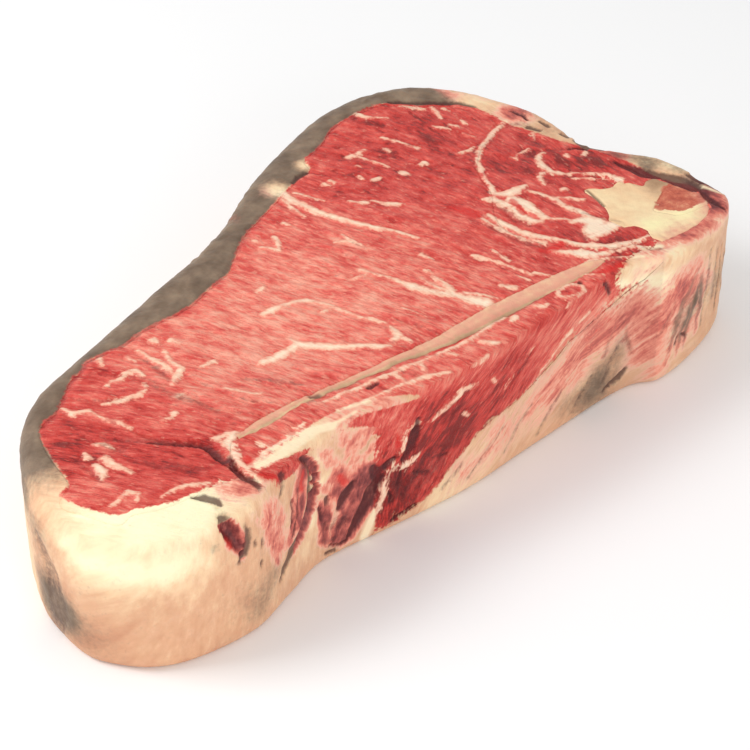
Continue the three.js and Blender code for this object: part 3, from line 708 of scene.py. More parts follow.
# %% Strokes of the side: distance round from the left end, height, half width
SIDE_LEAN = (
    # bared lean along the front
    ((141, 33, 5), (152, 31, 9), (165, 33, 9), (180, 37, 7.5), (195, 40, 5.5), (204, 41, 4)),
    ((130, 14, 3.5), (136, 12, 7), (143, 17, 8), (150, 22, 7)), ((136.5, 24.5, 2.5), (143, 26, 5)),
)
SIDE_CREAM = (
    # the hooked line of fat and its tick
    ((127.6, 43.8, 0.5), (136.4, 43.4, 0.6), (141.3, 41.9, 0.7), (146, 40.1, 0.9), (149, 36.3, 0.9),
     (148, 33.7, 0.8), (144, 31.9, 0.7), (140.9, 30.2, 0.6), (138.8, 29.6, 0.4)),
    ((149.7, 35, 0.6), (154.4, 34.1, 0.4)),
    # the seam down the front, with its branch
    ((127.8, 22.2, 0.4), (126.3, 19.4, 0.7), (124.4, 16.4, 0.8), (124.8, 12.6, 1.0), (122.3, 8.7, 1.1),
     (120.8, 6.2, 1.3), (118.6, 2.1, 1.3)),
    ((136.4, 20.9, 0.3), (131.8, 19, 0.9), (128.1, 20.1, 0.6)),
    # bright bits of fat by the hollow, and short flecks in the lean
    ((130.5, 25, 0.9), (131.2, 28.4, 0.8)), ((131, 30.1, 0.4), (133.2, 30.5, 0.8), (135.4, 30.8, 0.5)),
    ((177, 22, 0.2), (180, 25, 0.4), (183, 27, 0.4), (187, 30.3, 0.6), (190.5, 31.8, 0.6)),
    ((157, 38, 0.4), (160, 38.8, 0.6)), ((150, 27, 0.4), (151.5, 25.5, 0.5)),
    ((160, 32.5, 0.6), (161.5, 30.5, 0.4)), ((192.5, 33, 0.3), (197, 34.6, 0.5)),
    ((168, 36.5, 0.3), (171, 37.5, 0.4)), ((174, 33.5, 0.3), (176, 34.6, 0.3)),
    ((165, 27, 0.2), (168, 29, 0.3)),
)
# painted shade in the deep places of the side
SIDE_SHADED_HOLLOWS = (
    # the right side of the pocket
    ((74.6, 35.4, 0.4), (75.4, 33, 0.7), (75.4, 30, 0.9), (74.6, 27.4, 0.8), (72.6, 24.9, 0.4)),
    # the hooked split
    ((92.4, 43.8, 0.3), (96.5, 40, 0.5), (100.6, 36.3, 0.7), (101.5, 32.3, 0.6), (101.4, 29.3, 0.6),
     (100.8, 25.3, 0.7), (99.7, 20.7, 1.0), (98, 17.6, 1.4), (95.4, 15.5, 1.8), (92.6, 14.6, 1.4),
     (90.7, 12.3, 1.3), (88.5, 10.7, 1.1), (86.8, 9.1, 0.4)),
    ((96.6, 31, 0.2), (95.4, 24, 0.35), (93.4, 18.5, 0.5)), ((93.6, 29.5, 0.2), (92.6, 22, 0.4)),
    ((88, 38.8, 0.5), (89.7, 36.4, 0.7), (88.6, 34.2, 0.4)), ((92, 39.6, 0.3), (94.6, 37.6, 0.4)),
    ((77.4, 28.7, 0.4), (77.6, 27.6, 0.4)), ((80, 27.4, 0.3), (80.3, 25.4, 0.4)),
    ((79.6, 21, 0.3), (79.5, 19.5, 0.3)),
    # hollows in the torn front
    ((131, 21, 0.8), (133, 23.6, 1.5), (134.4, 27.8, 1.4), (135.4, 32, 0.5)),
    ((110.9, 15.4, 0.8), (112.9, 18.3, 1.7), (115, 21, 1.0)),
    ((121.3, 23.1, 1.2), (122.8, 19.2, 1.9), (119.8, 12.9, 1.9), (117.1, 8.7, 1.6), (114.2, 4.6, 0.8)),
    ((121.5, 21.2, 0.6), (125, 21.9, 1.1), (128, 23.2, 0.6)),
    ((107.5, 20.3, 0.7), (107.3, 18.4, 0.5)), ((104.7, 19, 0.3), (105.6, 15, 0.5)),
    ((108, 4.9, 0.3), (111, 3.4, 0.4), (113.4, 3.4, 0.4)), ((106.7, 2.9, 0.4), (109.4, 2.5, 0.5)),
    ((134.5, 4.8, 0.5), (131, 4, 0.5), (127, 3.4, 0.4)), ((130, 17.6, 0.5), (129.2, 14, 0.7)),
    ((133.6, 15.8, 0.5), (138.5, 13.5, 0.6)), ((126.6, 12.6, 0.5), (127, 9.6, 0.6)),
    ((140, 17, 0.3), (145, 16.5, 0.4)),
    # right end
    ((203.6, 39.8, 0.6), (205.2, 36.6, 0.5)), ((213.9, 7.6, 0.8), (211.6, 6.1, 1.3), (208.1, 5.1, 0.8),
     (205.7, 4.2, 0.4)),
    ((234, 11.7, 0.4), (236.9, 9.6, 0.5)), ((230.8, 10, 0.4), (232, 12, 0.4)),
    ((259.4, 24, 0.5), (260.5, 16.2, 0.9), (260.5, 9, 0.6)),
    ((254.4, 30, 0.3), (255.4, 17, 0.4), (255, 8, 0.3)),
)
# soft streaks of blood in the fat: how much (0.3 salmon, 0.6 red, 1 maroon), then strokes
SIDE_STAINS = (
    (0.32, (((106, 39, 2.5), (111, 34, 5), (118.7, 33, 6), (124.7, 33, 6), (128, 38, 5)),
            ((78, 39, 3), (83, 34, 4), (86, 26, 4.5), (87, 18, 3)), ((108, 24, 2), (116, 26, 4)))),
    # nearly unstained cream streaks in the pink mass: painted highlights
    (0.06, (((109, 37, 1.0), (112, 31.5, 0.8)), ((116, 39, 1.2), (122, 38.5, 1.2)), ((118, 30, 0.8),
       (121.5, 33, 0.6)))),
    (0.72, (((106, 16, 1.5), (108, 9, 3.5), (113, 7, 4), (118, 13, 4.5)), ((112, 19, 4), (120, 21, 4.5)))),
    (0.15, (((109.4, 18.5, 0.8), (110.3, 15, 1.0), (109.6, 11.6, 0.9), (108, 8.1, 0.5)),)),
    (0.55, (((93.4, 41, 1.0), (97.7, 37, 1.6), (98, 32.8, 2.4), (96.4, 28, 3), (94.6, 23, 2.4),
       (92, 18, 1.4)),
            ((111, 27, 1.6), (112.9, 22.5, 2.2)), ((126.8, 31, 1.0), (128.4, 26.2, 1.2), (125, 24.8, 0.9)),
            ((121, 36.5, 0.8), (124.5, 35.5, 0.9)), ((82.8, 31, 0.3), (84, 24, 0.4)),
            ((85.4, 24, 0.3), (86.5, 16, 0.4)))),
    (0.85, (((115.5, 20.8, 1.4), (119, 20, 1.8), (122.6, 20.3, 1.2)), ((105.4, 19.6, 0.8),
       (106.6, 15.6, 0.8)),
            ((70.8, 35, 1.0), (72, 32.5, 2.2), (73, 29.6, 1.3)),
            ((94.3, 40.8, 0.5), (98.6, 37, 0.8), (99.5, 33, 0.8)),
            ((97.6, 27, 0.5), (96.3, 20, 0.9)), ((111.6, 16, 0.8), (112.6, 12, 0.8)))),
)
# soft darker streaks of the side: painted shade, as at the left end where it turns away from the light
SIDE_SHADES = (
    ((200, 12, 0.3), (196.5, 8.5, 0.3), (193, 3.5, 0.3)), ((128, 18, 2.5), (133, 12, 4.5), (141, 17, 4)),
    ((21, 3, 3), (23.5, 12, 3.5), (22, 22, 2.5), (17, 30, 1)), ((107, 12, 1.5), (112, 10, 2)),
    ((188, 14, 0.3), (183, 9.5, 0.4), (179, 4, 0.3)), ((176, 15.5, 0.3), (171, 11, 0.4), (166, 5.5, 0.3)),
    ((165, 14.5, 0.3), (158, 9.5, 0.4), (152, 4.5, 0.3)), ((150, 10.5, 0.3), (143.5, 6, 0.4)),
    ((143, 27, 0.4), (148, 30, 0.4)), ((156, 26, 0.3), (163, 29.5, 0.5)),
    ((167, 27, 0.3), (174, 31, 0.4)), ((212, 19, 0.3), (208, 14, 0.8), (205, 8, 0.4)),
    ((246.5, 33, 0.4), (246.5, 22, 0.6), (245, 8, 0.4)), ((251, 31, 0.4), (252, 14, 0.6)),
)
MAUVE_STREAKS = (
    ((227, 5.5, 0.2), (228.6, 12, 0.8), (230.4, 18.5, 1.2), (233.5, 24, 1.1), (237.5, 28.4, 0.7),
     (241, 31, 0.2)),
    ((222, 14.5, 0.3), (226, 20, 0.8), (229, 25.5, 0.4)),
    ((235, 6.5, 0.3), (236.7, 13.6, 1.0), (239, 20, 1.0), (241.4, 25.5, 0.4)),
    ((231.5, 6, 0.3), (233.5, 13, 0.8), (236, 19.5, 0.6)),
    ((241.9, 27, 0.7), (242.7, 17.1, 0.9), (241.5, 8, 0.6)),
    ((218, 17, 0.3), (221, 21.5, 0.6), (223.5, 26, 0.2)),
    ((209.4, 27, 0.2), (207, 22, 0.6), (204.6, 16.5, 0.4)),
    ((201.5, 26.5, 0.2), (198, 22.5, 0.5), (195.5, 18, 0.3)),
    ((215.5, 13, 0.4), (213.2, 18.4, 0.6), (212.8, 23, 0.3)),
)
SIDE_BLOOD = (
    ((83, 44, 0.8), (86.9, 39.6, 1.0), (88.8, 37.2, 0.6)), ((111.4, 25.4, 0.4), (112.8, 22.6, 0.5)),
    ((128.6, 30.4, 0.3), (129, 26.6, 0.4)), ((98.6, 34.5, 0.3), (97.8, 29.5, 0.4)),
    ((69.9, 33.5, 0.4), (70.6, 31, 0.4)),
)
# where the side is torn: red, cream and pink in streaks
TORN_SIDE = (
    ((80, 36, 3), (84, 24, 5), (86, 14, 3)), ((95, 38, 3), (95, 24, 4)),
    ((110, 38, 5), (120, 30, 7), (115, 20, 6)),
    ((108, 12, 4), (113, 5, 4)), ((130, 28, 5), (131, 18, 5)), ((128, 8, 4),), ((203, 30, 4), (200, 20, 4)),
    ((232, 22, 8), (238, 14, 6)),
)
# the lean's lower edge along the front: below it lies the lip of fat
LEAN_FOOT = (
    (90, 2), (104, 3), (120, 2), (130, 3), (137, 5), (142, 8), (146, 12), (150, 14.5), (155, 18),
    (160, 19.5), (170, 20.5), (178, 23), (185, 26), (190, 29), (200, 31), (210, 33.5), (218, 36),
    (226, 44),
)
LEAN_ROOF = ((0, 60), (198, 60), (203, 42), (207, 37.5), (211, 36), (218, 34), (226, 30))
LIP_FROM, LIP_TO = 121, 223     # where the lip begins and ends
BACK_FROM, BACK_TO = 262, 285   # beyond this the side is the plain back, up to where the ruler ends
print(f"{len(SIDE_LEAN) + len(SIDE_CREAM) + len(SIDE_SHADED_HOLLOWS)} marks on the side")

# %% [markdown]
# ## Splits
#
# Where the end of the steak was pulled, the fat has opened: a split in the face, a hooked one down
# the front and a few pockets. Each is a bent tapering channel. Points of the surface inside a
# channel are pushed down or in by the height of the channel's circle over them.

# %% The channels
SPLITS = (                      # the path of the channel and its radius
    (((-80, -31, 42), (-75, -40, 42), (-69, -46.5, 42), (-68, -54, 41.6), (-67, -63, 40.5)), 1.7),
    (((-53, -61, 41), (-47, -60.5, 35), (-45.5, -59.5, 27), (-49, -60.5, 18), (-56, -63.5, 11)), 2.3),
    (((-77, -64, 39), (-76, -66.3, 35), (-74.5, -68, 30), (-73.5, -69, 25)), 2.6),
)
SPLIT_TIP = 0.35


def split_depth(points):
    """How deep points lie in the channels: the height of the circle of the channel's own radius, which
    is full in the middle and 0.35 of that at its ends, over the distance from its line."""
    depth = np.zeros(len(points))
    for path, radius in SPLITS:
        line = smooth_curve(np.asarray(path)[:, [0, 1, 2]], False, 0.5)
        near = np.flatnonzero((np.abs(points - line.mean(0)) < np.ptp(line, 0) / 2 + 2 * radius).all(1))
        gap = np.linalg.norm(points[near, None] - line[None], axis=-1)
        best = gap.argmin(1)
        wide = radius * (SPLIT_TIP + (1 - SPLIT_TIP) * np.sin(np.pi * best / (len(line) - 1)))
        inside_by = np.clip(wide**2 - gap.min(1) ** 2, 0, None) ** 0.5
        depth[near] = np.maximum(depth[near], inside_by)
    return depth


# %% [markdown]
# ## The two charts
#
# A mark was measured where it is seen from the front left, on the level of the cut face or on the
# upright side. Where the real surface curves away below that level, the mark is carried on along
# the same line of sight, so that it lands where the eye expects it.

# %% From a point of the surface to its chart
EYE = np.array((-264.18, -391.57, 360.09))
RULER_START = 10.0              # what the ruler round the side reads at the outline's first point
GLANCING = 0.05                 # keeps a mark from sliding far where the side is seen at a glance


def on_face_chart(points):
    """Where the line from the eye through each point meets the level of the cut face."""
    share = (EYE[2] - THICKNESS) / (EYE[2] - points[:, 2])
    return EYE[:2] + (points[:, :2] - EYE[:2]) * share[:, None]


def on_side_chart(points, u, inset):
    """The distance round and the height at which the line from the eye crosses the upright side."""
    column = np.floor(u).astype(int) % len(edge)
    sight = points - EYE
    sight = sight / np.linalg.norm(sight[:, :2], axis=1)[:, None]
    facing = np.clip(-(sight[:, :2] * outward[column]).sum(1), 0, 1)
    back = inset * facing / (facing**2 + GLANCING)
    shift = -back * (sight[:, :2] * along[column]).sum(1)
    return np.stack([u * perimeter / len(edge) + RULER_START + shift, points[:, 2] - back * sight[:, 2]], 1)


# %% [markdown]
# ## Grain
#
# Muscle fibres run in bundles one or two millimetres thick. On this face they run from the back
# towards the front and lean to the right, more so at the left end. Two coordinates follow them,
# one across the bundles and one along, and every streaky pattern is drawn in those.

# %% Coordinates across and along the fibres
def grain_of_face(points):
    """Across the fibres: x plus a share of y that falls from left to right; along them: y less 0.4 x."""
    x, y, z = points.T
    leaning = np.interp(x, (-100, -70, -40, 20, 60), (0.95, 0.8, 0.5, 0.38, 0.15))
    bend = 1.6 * mottle(points * (1, 0.5, 1), 16, seed=11)
    return np.stack([x + (y + 25) * leaning + bend, 0.4 * x - y, z], 1)


# %% [markdown]
# ## What each point of the surface is like
#
# Eleven numbers say it: how far inside the lean a point lies, how far from a vein and how far
# inside the marrow (in millimetres, below 0 outside), how pale the lean and the bone are, and how
# creamy, grey-brown (dried skin, and painted shade at the left end), pink, dark with painted
# shade, bloody and torn the place is. The coordinates along the grain go with them. The same rules
# serve every tissue, so no colour stops at a border.

# %% Tone pools: x, y, radius and amount
LEAN_TONE = (
    (-8, -12, 30, 0.12), (-48, -30, 20, 0.08), (25, -25, 16, 0.1),
    (-98, -30, 13, -0.3), (-85, -8, 10, -0.15), (-100, -46, 10, 0.15), (-78, -48, 13, -0.28),
    (-72, -25, 16, -0.02), (-50, -25, 22, 0.15), (-45, 0, 18, 0.12), (-25, -18, 20, 0.15),
    (-15, 8, 18, 0.1), (0, -30, 14, 0.1), (8, 0, 15, 0.12), (25, -15, 20, -0.05), (42, -20, 16, -0.05),
    (30, 30, 18, -0.18), (50, 45, 18, -0.2), (65, 35, 16, -0.16), (48, 12, 12, -0.08),
    (66, 12, 14, -0.24), (82, 4, 10, -0.25), (70, -10, 10, -0.15), (68, -35, 8, -0.25), (58, -26, 7, -0.2),
    (90, -6, 9, -0.3), (-50, -51, 8, 0.05), (-30, -52, 8, 0.12), (10, -52, 14, 0.1), (30, -52, 10, -0.05),
    (64, -44, 8, -0.25), (38, -36, 10, -0.08), (-12, -54, 7, 0.15),
)
SIDE_TONE = (
    (160, 30, 12, -0.15), (172, 34, 10, -0.1), (134, 12, 5, 0.15), (140, 14, 5, 0.1),
    (150, 22, 10, -0.3), (140, 26, 8, -0.35), (165, 34, 14, 0.0), (190, 36, 14, 0.22), (130, 12, 10, -0.5),
    (196, 28, 6, 0.25), (203, 34, 5, 0.3), (186, 25, 5, 0.15), (145, 35, 6, -0.2), (106, 14, 6, -0.4),
    (118, 14, 8, -0.5), (94, 25, 10, -0.2), (113, 38, 5, -0.4),
    (118, 26, 7, 0.0), (205, 40, 8, -0.15), (72, 31, 6, -0.5),
)
FAT_CREAM = (
    # the small spot at 54.5, -52.3 lightens the rim of the end fat to white: a painted highlight
    (90, -43.5, 8, 0.35), (75, -47, 7, 0.4), (62, -51, 6, 0.45), (54.5, -52.3, 2.5, 0.5),
    (101, -39, 5, 0.25),
    (103, -13, 4, 0.35), (100, -8.9, 3.5, 0.3), (105.2, -18, 3, 0.3), (60, 64, 5, 0.25), (30, 58, 4, 0.1),
    (-98, -58, 16, 0.65), (-85, -66, 12, 0.5), (-72, -64, 9, 0.15), (-50, -57, 9, 0.4), (-64, -55, 6, 0.4),
    (82, 45, 6, 0.35), (6, 37, 4, 0.4), (20, 44, 3, 0.4), (53, -8, 8, 0.25),
)
SIDE_CREAM_POOLS = (
    # the spots from 207 to 217 round lighten the top of the right end to near white: cream fat with a painted
    # highlight
    (104, 34, 4, 0.4), (104.6, 26, 3.5, 0.5), (102.6, 17, 3.5, 0.4), (98, 10, 4, 0.3), (207, 38.5, 3, 0.75),
    (211, 36.5, 3.5, 0.6), (217, 35, 4, 0.5), (222, 35.5, 5, 0.4), (72, 38.5, 3, -0.1), (85, 9, 8, 0.1),
    (172, 8, 12, 0.05), (155, 6, 10, 0.22), (142, 3, 8, 0.3), (240, 34, 8, 0.1), (228, 36, 7, 0.2),
    (222, 24, 8, 0.15), (232, 12, 10, 0.2), (245, 18, 8, 0.2),
    (36, 6, 10, -0.2), (36, 37, 10, 0.6), (50, 34, 9, 0.6), (60, 31, 8, 0.35), (45, 42, 12, 0.5),
    (28, 41, 8, 0.15),
)
FACE_GREY_BROWN = (                    # below 0 where fresh fat shows in the grey-brown band; the spots at x -106 and -104 are painted shade
    (6, 38, 4.5, -0.9), (20, 44.5, 3.2, -0.9), (-12, 33, 4, -0.3),
    (-106, -30, 8, 0.3), (-104, -22, 8, 0.4), (96.5, -4, 4.5, 0.45), (97.2, -12.5, 3, 0.6),
    (104.5, -27, 4, 0.4), (102.4, -12, 4, 0.35),
    (105.5, -18, 3, 0.35), (100.5, -8, 3.5, 0.4), (104, -24, 3, 0.4), (103.5, -18, 4, 0.2),
    (88, 30, 3, 0.3), (90, 6, 6, 0.35), (86, 20, 6, 0.35), (88, 36, 5, 0.15),
)
# the three spots from 16 to 27 round are painted shade where the left end turns away from the light; the rest
# are grey-brown and mauve patches of the fat
SIDE_GREY_BROWN = (
    (20, 12, 9, 0.95), (27, 12, 5, 0.5), (16, 32, 8, 0.5), (36, 8, 8, 0.3), (75, 12, 9, 0.3),
    (66, 33, 2, 0.45),
    (72, 39, 2.5, 0.4), (233, 15, 6, 0.4), (240, 21, 7, 0.45), (252, 18, 6, 0.3), (107, 6, 4, 0.3),
    (205, 6, 8, 0.6), (210, 16, 5, 0.4), (197, 6, 7, 0.45), (188, 8, 5, 0.3), (202.6, 12, 4, 0.25),
    (78, 6, 4, 0.25), (85, 14, 3, 0.2), (262, 20, 10, 0.4), (82, 12, 6, 0.25),
)
RED_POOLS_SIDE = (              # blood-stained fat
    (214, 27, 8, 0.28), (206, 24, 7, 0.2), (221, 22, 7, 0.28), (219, 12, 6, 0.22), (224, 6, 6, 0.15),
    (232, 24, 7, 0.2), (236, 14, 7, 0.2), (240, 28, 6, 0.2), (178, 14, 7, 0.2), (163, 12, 7, 0.2),
    (150, 8, 6, 0.15), (192, 20, 7, 0.3), (184, 17, 5, 0.25), (200, 26, 6, 0.35), (246, 22, 5, 0.15),
    (198, 33, 5, 0.3), (231, 30, 6, 0.3),
)
RED_POOLS_FACE = (
    (95.3, -2.6, 3, 0.8), (92.5, 1.5, 3, 0.6), (101, -38, 4, 0.5), (104, -31, 3, 0.5), (63, -53, 5, 0.2),
    # this spot takes the pink out under the painted highlight at 54.5, -52.3
    (54, -52, 2, -0.2),
    (-36, -57, 6, 0.3), (-26, -58, 5, 0.3), (104, -27, 4, 0.6), (87, 30, 4, 0.2), (92, -44, 4, 0.3),
    (70, -44, 5, 0.35), (80, -43, 4, 0.35),
    (-70, -63, 6, 0.5), (-60, -54, 6, 0.35), (86, 33, 5, 0.6), (55, -9, 5, 0.3), (57, -36, 4, 0.35),
    (66, -28, 5, 0.35), (98, -39, 5, 0.5), (85, -42.5, 6, 0.4), (104, -33, 4, 0.4), (-25, 24, 8, 0.35),
    (-5, 40, 8, 0.4), (-13, 34, 6, 0.3), (60, 62, 6, 0.35), (75, 55, 6, 0.35), (86, 47, 4, 0.2),
)
EDGE_FADE = 6                   # the face's marks run over the edge and fade out this far below it
DOWN_GRAIN = 1.8                # the grain's second coordinate grows by this per millimetre down the side
SIDE_FIBRES = (                 # distance round and the rise of the fibres there, in degrees
    (0, 85), (92, 80), (116, 76), (132, 52), (150, 36), (195, 38), (212, 52), (232, 62), (248, 84),
    (600, 90),
)


def grain_of_side(points, u):
    """The face's coordinates at the upper edge of the same column, carried on down the side along
    the fibres: going down, the one across them changes by its own rate along the edge over the
    tangent of the fibres' rise."""
    low = np.floor(u).astype(int)
    share = (u - low)[:, None]
    table = np.column_stack([top_ring[:, 2], top_grain, top_rate])
    top, across, onward, level, rate = (table[low % len(edge)] * (1 - share)
                                        + table[(low + 1) % len(edge)] * share).T
    s = u * perimeter / len(edge) + RULER_START
    rise = np.radians(np.interp(s, *np.array(SIDE_FIBRES).T))
    drop = top - points[:, 2]
    return np.stack([across + rate * drop / np.tan(rise), onward + DOWN_GRAIN * drop, level], 1), drop


def to_stroke_ring(points, ring, reach):
    """How far points lie inside a closed ring, below 0 outside it, no farther than `reach`."""
    least = np.full(len(points), float(reach))
    looped = np.vstack([ring, ring[:1]])
    looped = np.column_stack([looped, np.zeros(len(looped))])
    for start in range(0, len(ring), 24):
        least = np.minimum(least, to_strokes(points, [looped[start:start + 25]], reach))
    return np.where(inside(points, ring), least, -least)


def share_in(value):
    """A value kept between 0 and 1."""
    return np.clip(value, 0, 1)


def ledge(grain, points):
    """Sheets of fibre lie over each other like tiles 9 mm wide: each rises steeply over an eighth of
    its width and falls slowly, where a slow mottle lets it. Gives its height and its steep part."""
    t = (grain[:, 0] / 9 + 0.9 * mottle(points, 17, seed=12)) % 1
    here = smoothly(mottle(points, 19, seed=13), -0.1, 0.5)
    return np.minimum((1 - t) / 0.86, t / 0.14) * here, (1 - smoothly(np.abs(t - 0.05), 0.03, 0.12)) * here


END_BONE_POOLS = (              # pale, yellow and grey places of the end bone
    (80, -24, 5, 0.05), (92, -36, 5, 0.42), (79.5, -35, 4, 0.4), (85, -37.5, 5, 0.2), (84, -19, 4, 0.0),
    (94, -19, 4.5, -0.42), (90, -23.5, 3.5, -0.2), (95.5, -21.5, 2.5, -0.15), (78, -20, 4, 0.1),
)
LONG_BONE_SHADE = -0.25               # painted shade: the front half of the long bone, which lies in shade, is greyer by this much


def bone_tone(chart):
    """How pale the bone is: pools on the end bone, and on the long one pale behind its middle line and
    grey-olive in front of it, where that grey is painted shade."""
    line = bone_line[np.argsort(bone_line[:, 0])]
    beyond = chart[:, 1] - np.interp(chart[:, 0], line[:, 0], line[:, 1])
    half = np.interp(chart[:, 0], line[:, 0], line[:, 2])
    long_tone = 0.55 + 0.2 * smoothly(beyond / half, 0.1, 0.7)
    # the grey-olive front half is painted shade
    long_tone += LONG_BONE_SHADE * smoothly(-beyond / half, 0.2, 0.8)
    end_tone = pools(chart, END_BONE_POOLS, 0.55)
    return np.clip(np.where(chart[:, 0] < 65, long_tone, end_tone), 0, 1)


def looks_of_face(points):
    """The eleven numbers on the cut face and, from the same chart, on the underside."""
    chart = on_face_chart(points)
    grain = grain_of_face(np.column_stack([chart, points[:, 2]]))
    to_core = to_stroke_ring(chart, core_edge, 12)
    to_core = np.minimum(to_core, to_strokes(chart, FAT_OVER, 12))
    vein = np.minimum(to_strokes(chart, VEINS, 3), to_strokes(chart, SEAMS, 3))
    # a grey-brown band along the back rim
    back = smoothly(chart[:, 1] - 0.55 * chart[:, 0], -10, 4) * smoothly(-chart[:, 0], -80, -72)
    back = back * smoothly(chart[:, 1], -40, -24)
    # and at the left tip painted shade, where the end turns away from the light
    left = 0.38 * smoothly(-chart[:, 0], 97, 103) * smoothly(chart[:, 1], -47, -33)
    grey_brown = np.maximum(back, left) + pools(chart, FACE_GREY_BROWN, 0)
    on_long_bone = 1 - smoothly(to_strokes(chart, [LONG_BONE], 2), -0.3, 0.3)
    # the steep face of each ledge is darkened: painted shade, added to dark below
    step = ledge(grain, points)[1] * smoothly(to_core, 0.5, 3) * smoothly(-chart[:, 0], -75, 10)
    # dark: painted shade, full in the hollows and softer where one sheet lies over another
    dark = np.maximum(
        1 - smoothly(to_strokes(chart, SHADED_HOLLOWS, 2), -0.4, 0.7),
        0.42 * (1 - smoothly(to_strokes(chart, SHADES, 2.5), -0.4, 1.3)),
    )
    return {
        "lean": to_core,
        "vein": vein,
        "tone": share_in(pools(chart, LEAN_TONE, 0.5)),
        "cream": share_in(pools(chart, FAT_CREAM, 0.3)),
        "grey_brown": share_in(grey_brown) * smoothly(-to_core, -1, 0.5),
        "pink": np.maximum(share_in(pools(chart, RED_POOLS_FACE, 0)), 0.6 * on_long_bone),
        "dark": np.maximum(dark, 0.3 * step),
        "blood": 1 - smoothly(to_strokes(chart, BLOOD_MARKS, 3), -0.6, 1.6),
        "torn": 1 - smoothly(to_strokes(chart, TORN_FACE, 4), -0.5, 2),
        "bone": bone_tone(chart),
        "marrow": to_stroke_ring(chart, marrow_edge, 3),
        "grain": grain,
    }


top_ring = np.column_stack([face_ring, face_height(face_ring, np.arange(len(edge)), rim_start)[0]])
top_grain = grain_of_face(np.column_stack([on_face_chart(top_ring), top_ring[:, 2]]))
RATE_SPAN = 9                   # columns to either side over which the rate is taken
top_rate = np.roll(top_grain[:, 0], -RATE_SPAN) - np.roll(top_grain[:, 0], RATE_SPAN)
top_rate /= 2 * RATE_SPAN * perimeter / len(edge)


def looks_of_side(points, u, inset):
    """The eleven numbers on the side, and how far below the upper edge each point lies."""
    chart = on_side_chart(points, u, inset)
    s, z = chart.T
    foot = np.interp(s, *np.array(LEAN_FOOT).T)
    roof = np.interp(s, *np.array(LEAN_ROOF).T)
    between = np.minimum(z - foot, roof - z) / (2 + 5 * smoothly(s, 175, 200))
    lean = np.clip(np.minimum(between, (s - 122) * 0.8), -4, 4)
    lean = np.maximum(lean, -to_strokes(chart, SIDE_LEAN, 4))
    lean = np.where(s > 120, np.minimum(lean, between), lean)
    behind = np.maximum(smoothly(s, BACK_FROM, BACK_TO), 1 - smoothly(s, RULER_START, RULER_START + 8))
    wave = mottle(points * (1, 1, 0.4), 13, seed=15)
    # grey-brown along the top of the back side
    dried = behind * (0.12 + 0.1 * wave + 0.72 * smoothly(z + 6 * wave, 26, 41))
    grey_brown = np.maximum(share_in(pools(chart, SIDE_GREY_BROWN, 0)), dried)
    # dark on the side: painted shade, full in its hollows and softer along its shaded streaks
    dark = np.maximum(
        1 - smoothly(to_strokes(chart, SIDE_SHADED_HOLLOWS, 2), -0.5, 0.7),
        0.45 * (1 - smoothly(to_strokes(chart, SIDE_SHADES, 2.5), -0.4, 1.2)),
    )
    grain, drop = grain_of_side(points, u)
    pink = pools(chart, RED_POOLS_SIDE, 0.05)
    pink = share_in(pink + behind * 0.3 * mottle(points * (1, 1, 0.6), 10, seed=16) * smoothly(z, 36, 20))
    for amount, strokes in (*SIDE_STAINS, (0.42, MAUVE_STREAKS)):
        cover = 1 - smoothly(to_strokes(chart, strokes, 3), -1.2, 1.6)
        pink = pink * (1 - cover) + amount * cover
    mauve = 1 - smoothly(to_strokes(chart, MAUVE_STREAKS, 3), -1, 1.2)
    grey_brown = share_in(grey_brown + 0.35 * mauve)
    looks = {
        "lean": lean,
        "vein": to_strokes(chart, SIDE_CREAM, 3),
        "tone": share_in(pools(chart, SIDE_TONE, 0.45)),
        "cream": share_in(pools(chart, SIDE_CREAM_POOLS, 0.25) + behind * (0.15 + 0.3 * wave)),
        "grey_brown": grey_brown,
        "pink": pink,
        "dark": dark,
        "blood": 1 - smoothly(to_strokes(chart, SIDE_BLOOD, 3), -0.6, 1.6),
        "torn": 1 - smoothly(to_strokes(chart, TORN_SIDE, 4), -0.5, 2.5),
        "bone": np.full(len(s), 0.5),
        "marrow": np.full(len(s), -2.0),
        "grain": grain,
    }
    # just under the edge the face's numbers still hold, and fade out
    near = np.flatnonzero(drop < EDGE_FADE)
    above = looks_of_face(points[near])
    fade = smoothly(drop[near], 0, EDGE_FADE)
    for key in looks:
        if key != "grain":
            looks[key][near] = above[key] * (1 - fade) + looks[key][near] * fade
    return looks, drop


# %% [markdown]
# ## Relief
#
# The knife leaves soft fat smooth and lean finely ridged along the grain. Veins stand a little
# proud, because fat is firmer than lean, and the hollows, darkened with painted shade, are deeper.
# All of this is moved in the mesh; only detail finer than half a millimetre is left to the
# material's bump.

# %% How far the surface stands out, in millimetres
def relief(points, looks, ledges, ridged):
    """Lumps of two sizes, plus ledges and ridges along the grain in lean, plus veins, less hollows."""
    height = 0.30 * mottle(points, 11, seed=1) + 0.12 * mottle(points, 4, seed=2)
    height += 0.10 * mottle(points, 1.6, seed=7)
    grain = looks["grain"]
    ridges = (
        0.55 * mottle(grain / (1.8, 6, 9), 1, seed=3)
        + 0.45 * mottle(grain / (0.95, 3.4, 6), 1, seed=5)
        + 0.35 * mottle(grain / (3.6, 11, 14), 1, seed=6)
    )
    in_lean = smoothly(looks["lean"], -0.3, 0.8)
    in_vein = 1 - smoothly(looks["vein"], -0.5, 0.5)
    beside_vein = np.exp(-((looks["vein"] - 0.6) / 0.4) ** 2)
    height += ridges * (0.36 * ridged * in_lean * (1 - 0.7 * in_vein) + 0.03)
    height += in_lean * (0.16 * in_vein - 0.16 * beside_vein)
    height += 0.55 * ledges * in_lean * ledge(grain, points)[0]
    height -= 0.7 * looks["dark"] ** 1.3
    height += 0.5 * looks["torn"] * (0.6 * mottle(points, 2.4, seed=8) + 0.5 * ridges)
    return height


